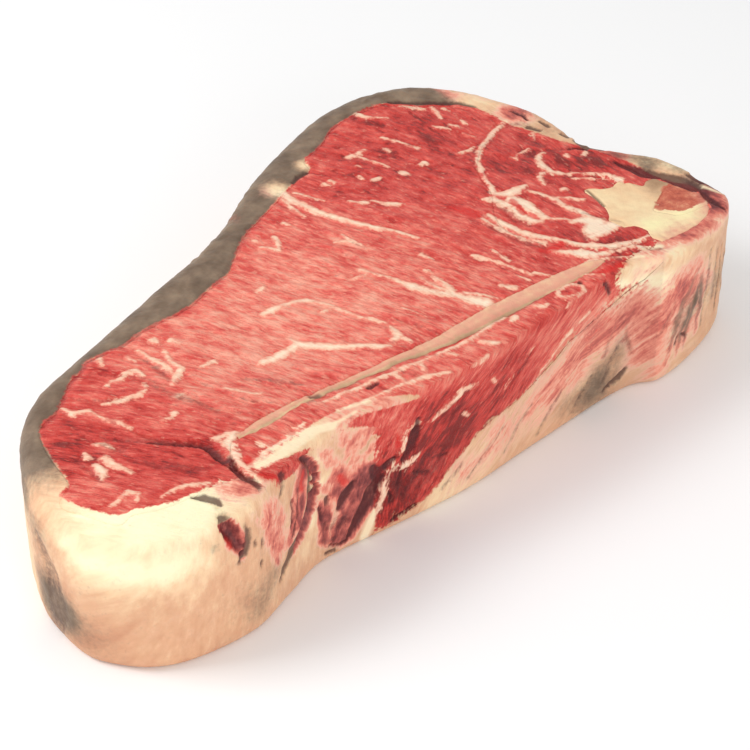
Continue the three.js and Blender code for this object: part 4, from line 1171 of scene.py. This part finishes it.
# %% [markdown]
# ## From the net to closed pieces
#
# Each tissue takes its own triangles of the net. Where its edge is the steak's outline, columns of
# points carry the surface down over the rim, the upright side and the foot. Where its edge is a
# border with another tissue, it drops a little, as soft edges do, and a plain wall goes straight
# down inside the steak. A coarser net closes it underneath.

# %% Outline columns at any place round the steak
LEVEL_SHARES = np.concatenate([np.linspace(1, 0.02, 62), [0.009, 0.003, 0]])[1:]
CREASE = 0.12                   # how far a tissue's edge drops at a border
OVERLAP = 0.12                  # how far neighbours reach into each other there, so no gap shows
FOOT_LIFT = 0.15                # an inner wall ends this high, and the underside starts there
FOOT_REACH = 8                  # inner walls nearer to the outline than this are drawn in at the foot


def round_edge(u):
    """The outline's place, rim, foot and outward direction at column numbers with fractions."""
    low = np.floor(u).astype(int)
    share = (u - low)[:, None]
    table = np.hstack([edge, outward])
    mixed = table[low % len(edge)] * (1 - share) + table[(low + 1) % len(edge)] * share
    return mixed


def side_surface(u, height):
    """Points of the side at column numbers u and heights (one row a column), the way each faces and
    how far it lies inside the outline: by the rim's ellipse above, nothing on the upright part and
    the foot's ellipse below."""
    x, y, rim_in, rim_down, foot_in, foot_up, out_x, out_y = round_edge(u).T[:, :, None]
    roof = THICKNESS - hanging(rim_down) * face_dip(np.column_stack([x, y]))[:, None]
    up = np.clip((height - roof + rim_down) / rim_down, 0, 1)
    down = np.clip((foot_up - height) / foot_up, 0, 1)
    inset = rim_in * (1 - np.sqrt(1 - up**2)) + foot_in * (1 - np.sqrt(1 - down**2))
    flat = np.sqrt(np.clip(1 - up**2 - down**2, 0, 1))
    lie = np.stack([out_x * flat, out_y * flat, up - down], -1)
    return sunk(u, height, inset), lie, inset


def sunk(u, height, inset):
    """The place of each (column, height) that lies an inset inside the outline."""
    x, y, out_x, out_y = round_edge(u)[:, [0, 1, 6, 7]].T[:, :, None]
    return np.stack([x - out_x * inset, y - out_y * inset, height], -1)


def open_sides(faces):
    """The directed edges of triangles that no neighbour shares."""
    pairs = np.concatenate([faces[:, [0, 1]], faces[:, [1, 2]], faces[:, [2, 0]]])
    size = faces.max() + 1
    return pairs[~np.isin(pairs[:, 1] * size + pairs[:, 0], pairs[:, 0] * size + pairs[:, 1])]


# %% The whole cut face, raised
column, depth_inside = nearest_column(plan)
height, turn = face_height(plan, column, depth_inside)
face = np.column_stack([plan, height])
face_looks = looks_of_face(face)
face_splits = split_depth(face)
# the channels get painted shade, darker the deeper they go
face_looks["dark"] = np.maximum(face_looks["dark"], smoothly(face_splits, 0.5, 2.0))
upward = np.column_stack([outward[column] * turn[:, None], np.sqrt(1 - turn**2)])
in_bone = np.maximum(to_stroke_ring(plan, long_bone_edge, 2), to_stroke_ring(plan, end_bone_edge, 2))
soft = 1 - 0.9 * smoothly(in_bone, -0.3, 0.5)
tiled = smoothly(-plan[:, 0], -75, 10) * smoothly(depth_inside, 2, 8) * soft
raised = face + upward * (relief(face, face_looks, tiled, soft) - 0.8 * face_splits)[:, None]

rim_pairs = open_sides(triangles)
rim_keys = rim_pairs[:, 0] * len(plan) + rim_pairs[:, 1]
at_rim = np.zeros(len(plan), bool)
at_rim[rim_pairs] = True
step = np.roll(face_ring, -1, 0) - face_ring
rim_column = column[at_rim]
back_one = ((plan[at_rim] - face_ring[rim_column]) * step[rim_column]).sum(1) < 0
rim_column = rim_column - back_one
start = rim_column % len(edge)
share = ((plan[at_rim] - face_ring[start]) * step[start]).sum(1) / (step[start] ** 2).sum(1)
rim_u = np.zeros(len(plan))
rim_u[at_rim] = rim_column + np.clip(share, 0, 1)
print(f"the face lies {height.min():.1f} to {height.max():.1f} mm up; {at_rim.sum()} points on its rim")


# %% The lip of fat under the front muscle
LIP_DEPTH = 9                   # how far the lip reaches in under the muscle, at the most
LIP_SHARE = 0.5                 # and at the most this share of the muscle's width
side_room = to_strokes(edge[:, :2], [np.column_stack([side_line, np.zeros(len(side_line))])], 30)


def lip_top(u):
    """The lip's upper edge at columns of the side, nothing left of where it starts."""
    s = u * perimeter / len(edge) + RULER_START
    return np.interp(s, *np.array(LEAN_FOOT).T) * ((s > LIP_FROM) & (s < LIP_TO + 12))


def lip_depth(u, height):
    """How far in the lip reaches at a height: full at the bottom, less in a straight line to nothing at
    its upper edge, and less deep where it is low or the muscle narrow."""
    top = lip_top(u)[:, None] + 1e-6
    room = np.interp(u, np.arange(len(edge)), side_room - edge[:, 4])[:, None]
    full = np.clip(LIP_SHARE * room, 0, LIP_DEPTH)
    return full * np.clip(top / 15, 0, 1) * np.clip(1 - height / top, 0, 1)


def build_lip():
    """The lip's closed mesh: its outside is the side of the steak, its inside the sloping cut."""
    per_mm = len(edge) / perimeter
    u = np.arange((LIP_FROM - RULER_START) * per_mm + 1, (LIP_TO - RULER_START) * per_mm, 1.0)
    shares = np.concatenate([np.linspace(1, 0.03, 48), [0.012, 0]])
    height = lip_top(u)[:, None] * shares
    place, lie, inset = side_surface(u, height)
    place, lie = place.reshape(-1, 3), lie.reshape(-1, 3)
    outer, looks = dressed_side(place, lie, np.repeat(u, len(shares)), inset.ravel())
    back_height = height[:, :0:-1]
    back = sunk(u, back_height, inset[:, :0:-1] + 0.05 + lip_depth(u, back_height)).reshape(-1, 3)
    back_looks = {key: values.reshape(len(u), len(shares), -1)[:, :0:-1].reshape(-1, *values.shape[1:])
                  for key, values in looks.items()}
    n, m = len(u), len(shares)
    outer_ids = np.arange(n * m).reshape(n, m)
    back_ids = n * m + np.arange(n * (m - 1)).reshape(n, m - 1)
    loops = np.hstack([outer_ids, back_ids])
    here, there = loops[:-1], loops[1:]
    low_here, low_there = np.roll(here, -1, 1), np.roll(there, -1, 1)
    quads = np.stack([low_here, low_there, there, here], -1).reshape(-1, 4).tolist()
    ends = [loops[0][::-1].tolist(), loops[-1].tolist()]
    return np.vstack([outer, back]), quads + ends, joined(looks, back_looks)


# %% Build a tissue
def underside(ring_xy, ring_edges, seed):
    """A net over the bottom of a piece: its edge points first, then coarser ones inside."""
    start, end = ring_xy[ring_edges].transpose(1, 0, 2)
    inner = hex_points(ring_xy.min(0), ring_xy.max(0), UNDER_STEP, seed)
    inner = inner[inside(inner, start, end)]
    inner = clear_of(inner, start, end, 2 * BORDER_GAP)
    every = np.vstack([ring_xy, inner])
    found = delaunay_2d_cdt([Vector(p) for p in every.tolist()], ring_edges.tolist(), [], 1, 1e-4)
    origin = np.array([ids[0] for ids in found[3]])
    return inner, anticlockwise(every, origin[np.array(found[2])])[:, ::-1]


def to_mesh(name, points, faces, looks):
    """A smooth mesh object in the shared frame, in metres, with the looks stored on its points."""
    mesh = bpy.data.meshes.new(name)
    place = (points - (*MIDDLE, 0)) / 1000
    mesh.from_pydata(place.tolist(), [], faces)
    mesh.polygons.foreach_set("use_smooth", np.ones(len(mesh.polygons), bool))
    for key, values in looks.items():
        kind, field = ("FLOAT_VECTOR", "vector") if values.ndim == 2 else ("FLOAT", "value")
        layer = mesh.attributes.new(key, kind, "POINT")
        layer.data.foreach_set(field, values.astype(np.float32).ravel())
    mesh.update()
    piece = bpy.data.objects.new(name, mesh)
    bpy.context.scene.collection.objects.link(piece)
    return piece


def joined(*parts):
    """The looks of several rows of points, one after the other."""
    return {key: np.concatenate([part[key] for part in parts]) for key in parts[0]}


def dressed_side(points, lie, u, inset):
    """Side points moved in or out by the relief and the splits, with their looks."""
    looks, drop = looks_of_side(points, u, inset)
    splits = split_depth(points)
    # painted shade deep in the splits; the pink is the torn flesh's own colour
    looks["dark"] = np.maximum(looks["dark"], 0.6 * smoothly(splits, 1.0, 2.4))
    looks["pink"] = np.maximum(looks["pink"], 0.8 * smoothly(splits, 0.2, 1.2))
    ridged = 1 - 0.7 * smoothly(drop, 0, EDGE_FADE)
    out_by = (relief(points, looks, 0, ridged) - splits) * np.clip(points[:, 2] / 4, 0, 1)
    points = points + lie * out_by[:, None]
    points[:, 2] = np.maximum(points[:, 2], 0)
    return points, looks


def lowered(top, inner_sides, outer_points):
    """The points with those on inner edges moved a little into the neighbour, along the mean of the
    two sides' outward directions, and dropped; points on the outline only drop."""
    run = top[inner_sides[:, 1], :2] - top[inner_sides[:, 0], :2]
    run /= np.linalg.norm(run, axis=1)[:, None] + 1e-9
    push = np.zeros((len(top), 2))
    np.add.at(push, inner_sides[:, 0], np.stack([run[:, 1], -run[:, 0]], 1))
    np.add.at(push, inner_sides[:, 1], np.stack([run[:, 1], -run[:, 0]], 1))
    push /= np.linalg.norm(push, axis=1)[:, None] + 1e-9
    bordering = np.unique(inner_sides)
    moved = top.copy()
    moved[bordering, :2] += OVERLAP * push[bordering] * ~np.isin(bordering, outer_points)[:, None]
    moved[bordering, 2] -= CREASE
    return moved


def feet_below(points):
    """Points straight below, but drawn in near the outline so that they stay within the side's foot."""
    foot_column, foot_inside = nearest_column(points[:, :2])
    start_in = rim_start[foot_column]
    near = np.clip(1 - (foot_inside - start_in) / FOOT_REACH, 0, 1)
    feet = points.copy()
    feet[:, :2] -= outward[foot_column] * (np.clip(edge[foot_column, 4] - start_in, 0, None) * near)[:, None]
    feet[:, 2] = FOOT_LIFT
    return feet


def build_tissue(number, name):
    """A closed piece: its share of the face, the side columns, the inner walls and the underside."""
    used, faces = np.unique(triangles[tissue == number], return_inverse=True)
    faces = faces.reshape(-1, 3)
    sides = open_sides(faces)
    outer = np.isin(used[sides[:, 0]] * len(plan) + used[sides[:, 1]], rim_keys)
    looks = {key: values[used] for key, values in face_looks.items()}
    inner_sides = sides[~outer]
    outer_points = np.unique(sides[outer])
    top = lowered(raised[used], inner_sides, outer_points)

    # the side: columns under the outer points
    parts, part_looks = [top], [looks]
    count = len(top)
    levels = len(LEVEL_SHARES)
    rank = np.full(len(top), -1)
    if len(outer_points):
        u = rim_u[used[outer_points]]
        height = face[used[outer_points], 2][:, None] * np.concatenate([[1], LEVEL_SHARES])
        place, lie, inset = side_surface(u, height)
        start_in = round_edge(u)[:, 2:3] * (1 - np.sin(RIM_TURN))
        inset = inset + (start_in - inset[:, :1]) * np.clip(1 - np.arange(levels + 1) / 8, 0, 1)
        if name == "side_muscle":
            inset = inset + lip_depth(u, height)
        height, lie, inset = height[:, 1:], lie[:, 1:], inset[:, 1:]
        flat = sunk(u, height, inset).reshape(-1, 3)
        u_flat = np.repeat(u, levels)
        flat, side_looks = dressed_side(flat, lie.reshape(-1, 3), u_flat, inset.ravel())
        parts.append(flat)
        part_looks.append(side_looks)
        rank[outer_points] = np.arange(len(outer_points))
        count += len(flat)

    # the inner points' feet
    inner_points = np.setdiff1d(inner_sides, outer_points)
    feet = feet_below(top[inner_points])
    foot_of = np.full(len(top), -1)
    foot_of[inner_points] = count + np.arange(len(inner_points))
    foot_of[outer_points] = len(top) + rank[outer_points] * levels + levels - 1
    parts.append(feet)
    count += len(feet)

    # faces of the side, of the inner walls, and of the few walls that meet the side
    below = np.column_stack([np.arange(len(top)), len(top) + rank[:, None] * levels + np.arange(levels)])
    left, right = below[sides[outer]].transpose(1, 0, 2)
    walls = np.stack([left[:, 1:], right[:, 1:], right[:, :-1], left[:, :-1]], -1).reshape(-1, 4).tolist()
    a, b = inner_sides.T
    plain = (rank[a] < 0) & (rank[b] < 0)
    walls += np.stack([foot_of[a], foot_of[b], b, a], 1)[plain].tolist()
    for one, other in inner_sides[~plain].tolist():
        down = below[one, 1:-1].tolist() if rank[one] >= 0 else []
        up = below[other, -2:0:-1].tolist() if rank[other] >= 0 else []
        walls.append([int(foot_of[one]), int(foot_of[other]), *up, other, one, *down])

    # the underside
    ring_ids = np.unique(sides)
    so_far = np.vstack(parts)
    ring_xy = so_far[foot_of[ring_ids], :2]
    inner, under = underside(ring_xy, np.searchsorted(ring_ids, sides), seed=20 + number)
    bottom_ids = np.concatenate([foot_of[ring_ids], count + np.arange(len(inner))])
    bottom = np.column_stack([inner, np.zeros(len(inner))])
    parts.append(bottom)
    lowest = np.vstack([feet, bottom])
    part_looks.append(looks_of_face(lowest + (0, 0, THICKNESS)))
    points = np.vstack(parts)
    all_faces = faces.tolist() + walls + bottom_ids[under].tolist()
    looks = joined(*part_looks)
    if name == "end_fat":
        lip_points, lip_faces, lip_looks = build_lip()
        all_faces += [[i + len(points) for i in ids] for ids in lip_faces]
        points = np.vstack([points, lip_points])
        looks = joined(looks, lip_looks)
    piece = to_mesh(name, points, all_faces, looks)
    print(f"{name}: {len(points)} points, {sum(len(f) - 2 for f in all_faces)} triangles")
    return piece


built = {name: build_tissue(number, name) for number, name in enumerate(TISSUES)}
print("pieces:", len(built))

# %% [markdown]
# ## Floor, light and camera
#
# The steak lies on plain white paper in a white room. A soft box behind on the left lights the cut
# face, and a larger, dimmer one low in front opens up the shade on the side. Two boxes are enough,
# because a bare lamp would leave hard glints on the moist lean. The camera stands where the photo's
# stood, which its edges gave.

# %% Stage
scene = bpy.context.scene


def linear(code):
    """An sRGB hex colour as linear red, green, blue and alpha."""
    parts = np.array([int(code[i:i + 2], 16) / 255 for i in (1, 3, 5)])
    low, high = parts / 12.92, ((parts + 0.055) / 1.055) ** 2.4
    return (*np.where(parts <= 0.04045, low, high).tolist(), 1.0)


def add(tree, kind, inputs=None, out=0, stops=(), **settings):
    """Adds a node with its settings and colour stops, sets or links its inputs, gives one output."""
    node = tree.nodes.new("ShaderNode" + kind)
    for key, value in settings.items():
        setattr(node, key, value)
    for number, (place, code) in enumerate(stops):
        elements = node.color_ramp.elements
        stop = elements[number] if number < 2 else elements.new(place)
        stop.position = place
        stop.color = linear(code)
    for key, value in (inputs or {}).items():
        if isinstance(value, bpy.types.NodeSocket):
            tree.links.new(value, node.inputs[key])
        else:
            node.inputs[key].default_value = value
    return node.outputs[out]


floor_mesh = bpy.data.meshes.new("floor")
floor_mesh.from_pydata([(-3, -3, 0), (3, -3, 0), (3, 3, 0), (-3, 3, 0)], [], [(0, 1, 2, 3)])
floor = bpy.data.objects.new("floor", floor_mesh)
scene.collection.objects.link(floor)
paper = bpy.data.materials.new("matt white paper")
paper.use_nodes = True
shader = paper.node_tree.nodes["Principled BSDF"]
shader.inputs["Base Color"].default_value = linear("#FAFAFA")
shader.inputs["Roughness"].default_value = 0.9
floor_mesh.materials.append(paper)

# %% Camera
camera_data = bpy.data.cameras.new("camera")
camera_data.sensor_width = 36
camera_data.lens = 103.2
camera_data.clip_start = 0.01
camera = bpy.data.objects.new("camera", camera_data)
scene.collection.objects.link(camera)
LOOK_AT = np.array((-20.74, -47.33, 42.375))
camera.location = Vector((EYE - (*MIDDLE, 0)) / 1000)
direction = Vector((LOOK_AT - EYE) / 1000)
camera.rotation_euler = direction.to_track_quat("-Z", "Y").to_euler()
scene.camera = camera

# %% Light
world = bpy.data.worlds.new("soft white room")
world.use_nodes = True
world.node_tree.nodes["Background"].inputs["Color"].default_value = (1, 1, 1, 1)
world.node_tree.nodes["Background"].inputs["Strength"].default_value = 0.71
scene.world = world


def softbox(name, place, target, size, watts):
    """A square area lamp at a place in metres, turned towards a target."""
    lamp = bpy.data.lights.new(name, "AREA")
    lamp.size = size
    lamp.energy = watts
    holder = bpy.data.objects.new(name, lamp)
    holder.location = place
    holder.rotation_euler = (Vector(target) - Vector(place)).to_track_quat("-Z", "Y").to_euler()
    scene.collection.objects.link(holder)
    return holder


softbox("softbox back left", (-0.55, 0.30, 0.60), (0, 0, 0.02), 0.35, 3.6)
softbox("softbox low in front", (-0.15, -0.90, 0.28), (0, 0, 0.02), 0.6, 2.6)
scene.view_settings.view_transform = "Standard"
scene.view_settings.look = "None"


# %% [markdown]
# ## Flesh
#
# Lean is wet red muscle: a smooth film of juice over fine fibres, so it shines softly. Fat is
# waxy and matt, and lets a little light in. One recipe makes both, because marbling puts fat in
# the lean and smears lean over the fat. Bundles of fibre are 1.3 mm across and strands 0.5 mm. Real
# strands are finer still, and are drawn as coarse as they need to be to show.

# %% Colours of the flesh
LEAN_COLOURS = ((0.0, "#86201C"), (0.22, "#C4332C"), (0.48, "#DB5449"), (0.72, "#EC7B69"), (1.0, "#F6A78F"))
VEIN_COLOURS = ((0.0, "#EC9C84"), (0.4, "#F2BFA2"), (1.0, "#FBE2C6"))
FAT_COLOURS = ((0.0, "#CF9674"), (0.3, "#DFAD88"), (0.55, "#F1CBA2"), (0.8, "#FBE7BE"), (1.0, "#FEF3CB"))
STAIN_COLOURS = ((0.1, "#F6CBB4"), (0.3, "#EC9A82"), (0.5, "#D26E5F"), (0.72, "#A04C46"), (1.0, "#6B2B2C"))
GREY_BROWN_COLOURS = ((0.3, "#64503F"), (0.5, "#7C6754"), (0.75, "#98816A"))
BONE_COLOURS = ((0.0, "#A98360"), (0.25, "#C9A27C"), (0.5, "#EFC79A"), (0.75, "#F8DDAE"), (1.0, "#FCEFB8"))
MARROW_COLOURS = ((0.25, "#A23F2C"), (0.45, "#C05A41"), (0.6, "#CF6E51"), (0.8, "#E5A078"))
# painted shade of hollows: red-black over lean and blood-stained fat, brown over clean fat
SHADE_RED = "#471216"
SHADE_BROWN = "#583A30"
BRIGHT_BLOOD = "#D81F18"


# %% The flesh recipe
def flesh(name, roughness):
    """Lean, veins, fat, grey-brown skin and painted shade at the left end, the painted shade of hollows, and
    blood, mixed by the numbers of each point.
    """
    material = bpy.data.materials.new(name)
    material.use_nodes = True
    tree = material.node_tree
    shader = tree.nodes["Principled BSDF"]

    # the numbers on the mesh, and noises across the fibres and in plain millimetres
    number = {key: add(tree, "Attribute", out="Fac", attribute_name=key)
              for key in ("lean", "vein", "tone", "cream", "grey_brown", "pink", "dark", "blood", "torn")}
    grain = add(tree, "Attribute", out="Vector", attribute_name="grain")
    place = add(tree, "VectorMath", {0: add(tree, "TexCoord", out="Object"), 1: (1000, 1000, 1000)},
                operation="MULTIPLY")
    sizes = {"bundles": (1.3, 5, 5), "strands": (0.5, 2.6, 3), "flecks": (0.8, 2.4, 2),
             "sheets": (3.4, 12, 9),
             "patches": (4.5, 7.5, 7)}
    noise = {}
    for key, (across, onward, down) in sizes.items():
        shape = add(tree, "VectorMath", {0: grain, 1: (1 / across, 1 / onward, 1 / down)},
                    operation="MULTIPLY")
        noise[key] = add(tree, "TexNoise", {"Vector": shape, "Scale": 1.0, "Detail": 3.0, "Roughness": 0.62})
    for key, size, detail in (("ragged", 1.2, 4.0), ("cloud", 7.0, 3.0), ("grit", 0.4, 2.0)):
        noise[key] = add(tree, "TexNoise", {"Vector": place, "Scale": 1 / size, "Detail": detail,
                                            "Roughness": 0.6})

    # lean: tone from the map, moved by bundles, strands and clouds
    tone = number["tone"]
    for key, amount in (("bundles", 1.0), ("strands", 0.55), ("patches", 1.1), ("sheets", 0.7)):
        centred = add(tree, "Math", {0: noise[key], 1: 0.5}, operation="SUBTRACT")
        tone = add(tree, "Math", {0: centred, 1: amount, 2: tone}, operation="MULTIPLY_ADD")
    lean = add(tree, "ValToRGB", {0: tone}, stops=LEAN_COLOURS)

    # edges wander by the ragged noise, more where the flesh is torn
    off = add(tree, "Math", {0: noise["ragged"], 1: 0.5}, operation="SUBTRACT")
    streak = add(tree, "Math", {0: noise["bundles"], 1: 0.5}, operation="SUBTRACT")
    along_by = add(tree, "Math", {0: number["torn"], 1: 4.0, 2: 0.9}, operation="MULTIPLY_ADD")
    round_by = add(tree, "Math", {0: number["torn"], 1: 3.0, 2: 2.0}, operation="MULTIPLY_ADD")
    wander = add(tree, "Math", {0: streak, 1: along_by}, operation="MULTIPLY")
    wander = add(tree, "Math", {0: off, 1: round_by, 2: wander}, operation="MULTIPLY_ADD")

    # marbling: pinkish at its edge, cream in its middle, and thin flecks
    uneven = add(tree, "Math", {0: noise["flecks"], 1: noise["patches"]}, operation="ADD")
    uneven = add(tree, "Math", {0: uneven, 1: 1.0}, operation="SUBTRACT")
    near_vein = add(tree, "Math", {0: wander, 1: 0.8, 2: number["vein"]}, operation="MULTIPLY_ADD")
    near_vein = add(tree, "Math", {0: uneven, 1: 2.2, 2: near_vein}, operation="MULTIPLY_ADD")
    vein = add(tree, "MapRange", {0: near_vein, 1: 0.55, 2: -0.4, 4: 0.95}, interpolation_type="SMOOTHSTEP")
    depth = add(tree, "MapRange", {0: near_vein, 1: 0.3, 2: -1.5})
    fleck = add(tree, "Math", {0: number["tone"], 1: 0.16, 2: noise["flecks"]}, operation="MULTIPLY_ADD")
    fleck = add(tree, "MapRange", {0: fleck, 1: 0.62, 2: 0.80, 4: 0.7}, interpolation_type="SMOOTHSTEP")
    fatty = add(tree, "Math", {0: vein, 1: fleck}, operation="MAXIMUM")
    marbled = add(tree, "ValToRGB", {0: depth}, stops=VEIN_COLOURS)
    meat = add(tree, "Mix", {0: fatty, 6: lean, 7: marbled}, out=2, data_type="RGBA")

    # fat: peach to cream, streaked pink where blood has stained it, grey-brown where it has dried and, at the
    # left end, as painted shade
    creamy = number["cream"]
    for key, amount in (("cloud", 0.35), ("bundles", 0.35), ("sheets", 0.6)):
        centred = add(tree, "Math", {0: noise[key], 1: 0.5}, operation="SUBTRACT")
        creamy = add(tree, "Math", {0: centred, 1: amount, 2: creamy}, operation="MULTIPLY_ADD")
    fat = add(tree, "ValToRGB", {0: creamy}, stops=FAT_COLOURS)
    spread = add(tree, "Math", {0: noise["patches"], 1: 0.5}, operation="SUBTRACT")
    uneven = add(tree, "Math", {0: streak, 1: 0.75}, operation="MULTIPLY")
    uneven = add(tree, "Math", {0: off, 1: 0.35, 2: uneven}, operation="MULTIPLY_ADD")
    uneven = add(tree, "Math", {0: spread, 1: 0.9, 2: uneven}, operation="MULTIPLY_ADD")
    stained = add(tree, "Math", {0: number["pink"], 1: 3.0}, operation="MULTIPLY", use_clamp=True)
    stain = add(tree, "Math", {0: uneven, 1: stained, 2: number["pink"]}, operation="MULTIPLY_ADD")
    stained = add(tree, "MapRange", {0: stain, 1: 0.04, 2: 0.28}, interpolation_type="SMOOTHSTEP")
    fat = add(tree, "Mix", {0: stained, 6: fat, 7: add(tree, "ValToRGB", {0: stain}, stops=STAIN_COLOURS)},
              out=2, data_type="RGBA")
    creaminess = add(tree, "MapRange", {0: number["vein"], 1: 0.5, 2: -0.5})
    fat = add(tree, "Mix", {0: creaminess, 6: fat, 7: linear("#FAE3BE")}, out=2, data_type="RGBA")
    grey_brown_share = add(tree, "Math", {0: off, 1: 0.5, 2: number["grey_brown"]}, operation="MULTIPLY_ADD")
    grey_brown_share = add(tree, "MapRange", {0: grey_brown_share, 1: 0.1, 2: 0.9}, interpolation_type="SMOOTHSTEP")
    skin = add(tree, "ValToRGB", {0: noise["cloud"]}, stops=GREY_BROWN_COLOURS)
    fat = add(tree, "Mix", {0: grey_brown_share, 6: fat, 7: skin}, out=2, data_type="RGBA")

    # lean against fat, then blood, then the painted shade of hollows
    edge_at = add(tree, "Math", {0: wander, 1: 1.0, 2: number["lean"]}, operation="MULTIPLY_ADD")
    in_fat = add(tree, "MapRange", {0: edge_at, 1: 0.35, 2: -0.35}, interpolation_type="SMOOTHSTEP")
    colour = add(tree, "Mix", {0: in_fat, 6: meat, 7: fat}, out=2, data_type="RGBA")
    blood = add(tree, "Math", {0: off, 1: 0.8, 2: number["blood"]}, operation="MULTIPLY_ADD")
    blood = add(tree, "MapRange", {0: blood, 1: 0.1, 2: 0.95, 4: 0.7}, interpolation_type="SMOOTHSTEP")
    colour = add(tree, "Mix", {0: blood, 6: colour, 7: linear(BRIGHT_BLOOD)}, out=2, data_type="RGBA")
    hollow_shade = add(tree, "Math", {0: streak, 1: 0.7, 2: number["dark"]}, operation="MULTIPLY_ADD")
    hollow_shade = add(tree, "Math", {0: off, 1: 0.9, 2: hollow_shade}, operation="MULTIPLY_ADD")
    hollow_shade = add(tree, "MapRange", {0: hollow_shade, 1: 0.05, 2: 0.95, 4: 0.85}, interpolation_type="SMOOTHSTEP")
    bloodless = add(tree, "MapRange", {0: number["pink"], 1: 0.4, 2: 0.0})
    bloodless = add(tree, "Math", {0: bloodless, 1: in_fat}, operation="MULTIPLY")
    deep = add(tree, "Mix", {0: bloodless, 6: linear(SHADE_RED), 7: linear(SHADE_BROWN)}, out=2,
               data_type="RGBA")
    colour = add(tree, "Mix", {0: hollow_shade, 6: colour, 7: deep}, out=2, data_type="RGBA")
    tree.links.new(colour, shader.inputs["Base Color"])

    # fine relief: strands and bundles stand up, veins are smoother
    fine = add(tree, "Math", {0: noise["grit"], 1: 0.25}, operation="MULTIPLY")
    for key, amount in (("strands", 0.55), ("bundles", 0.8), ("flecks", 0.3)):
        fine = add(tree, "Math", {0: noise[key], 1: amount, 2: fine}, operation="MULTIPLY_ADD")
    firm = add(tree, "Math", {0: vein, 1: in_fat}, operation="MAXIMUM")
    strength = add(tree, "MapRange", {0: firm, 3: 1.0, 4: 0.35})
    bump = add(tree, "Bump", {"Strength": strength, "Distance": 0.0006, "Height": fine})
    tree.links.new(bump, shader.inputs["Normal"])
    shader.inputs["Roughness"].default_value = roughness
    shader.inputs["IOR"].default_value = 1.38
    shader.inputs["Subsurface Weight"].default_value = 0.12
    shader.inputs["Subsurface Radius"].default_value = (1.0, 0.35, 0.25)
    shader.inputs["Subsurface Scale"].default_value = 0.0012
    return material


fresh_lean = flesh("raw lean, cut and moist", 0.40)
firm_fat = flesh("firm fat, cut and waxy", 0.52)

# %% [markdown]
# ## Bone and marrow
#
# Sawn bone is dense at its rim and spongy inside, cream, with a grey smear from the saw. The marrow
# fills the open sponge, soft and orange-brown. The long flat bone is mostly its pale skin, with a
# grey-olive lower half of painted shade, where it lies in shade.

# %% The bone and marrow recipe
def bony(name, roughness):
    """Bone and marrow, mixed by the distance inside the marrow, stained by blood and slightly porous."""
    material = bpy.data.materials.new(name)
    material.use_nodes = True
    tree = material.node_tree
    shader = tree.nodes["Principled BSDF"]
    number = {key: add(tree, "Attribute", out="Fac", attribute_name=key)
              for key in ("bone", "pink", "dark", "marrow")}
    place = add(tree, "VectorMath", {0: add(tree, "TexCoord", out="Object"), 1: (1000, 1000, 1000)},
                operation="MULTIPLY")
    noise = {}
    for key, size in (("cloud", 9.0), ("patch", 2.6), ("grit", 0.45)):
        noise[key] = add(tree, "TexNoise", {"Vector": place, "Scale": 1 / size, "Detail": 3.0,
                                            "Roughness": 0.58})
    off = {key: add(tree, "Math", {0: value, 1: 0.5}, operation="SUBTRACT") for key, value in noise.items()}
    value = number["bone"]
    for key, amount in (("cloud", 0.6), ("patch", 0.3), ("grit", 0.15)):
        value = add(tree, "Math", {0: off[key], 1: amount, 2: value}, operation="MULTIPLY_ADD")
    colour = add(tree, "ValToRGB", {0: value}, stops=BONE_COLOURS)
    wet = add(tree, "Math", {0: off["grit"], 1: 0.4, 2: noise["patch"]}, operation="MULTIPLY_ADD")
    wet = add(tree, "ValToRGB", {0: wet}, stops=MARROW_COLOURS)
    inside_by = add(tree, "Math", {0: off["patch"], 1: 5.0, 2: number["marrow"]}, operation="MULTIPLY_ADD")
    filled = add(tree, "MapRange", {0: inside_by, 1: -0.3, 2: 0.4}, interpolation_type="SMOOTHSTEP")
    colour = add(tree, "Mix", {0: filled, 6: colour, 7: wet}, out=2, data_type="RGBA")
    stain = add(tree, "Math", {0: off["patch"], 1: 1.0, 2: number["pink"]}, operation="MULTIPLY_ADD")
    stain = add(tree, "MapRange", {0: stain, 1: 0.1, 2: 0.8, 4: 0.75}, interpolation_type="SMOOTHSTEP")
    colour = add(tree, "Mix", {0: stain, 6: colour, 7: linear("#E08E7C")}, out=2, data_type="RGBA")
    # painted shade of hollows, brown, on bone and marrow
    hollow_shade = add(tree, "MapRange", {0: number["dark"], 1: 0.1, 2: 0.95, 4: 0.75},
                 interpolation_type="SMOOTHSTEP")
    colour = add(tree, "Mix", {0: hollow_shade, 6: colour, 7: linear("#5B362C")}, out=2, data_type="RGBA")
    tree.links.new(colour, shader.inputs["Base Color"])
    bump = add(tree, "Bump", {"Strength": 0.35, "Distance": 0.0004, "Height": noise["grit"]})
    tree.links.new(bump, shader.inputs["Normal"])
    shader.inputs["Roughness"].default_value = roughness
    shader.inputs["IOR"].default_value = 1.45
    return material


sawn_bone = bony("sawn bone, cream and slightly porous", 0.5)
soft_marrow = bony("marrow in spongy bone", 0.45)

# %% Hand over the pieces
SLOTS = {
    "fat_cap": "fat", "end_fat": "fat", "eye_muscle": "lean", "end_muscle": "lean",
    "side_muscle": "lean", "long_bone": "bone", "end_bone": "bone", "marrow": "marrow",
}
FINISHES = {"fat": firm_fat, "lean": fresh_lean, "bone": sawn_bone, "marrow": soft_marrow}
for name, piece in built.items():
    piece.data.materials.append(FINISHES[SLOTS[name]])
    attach(piece, "root")
    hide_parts(name)
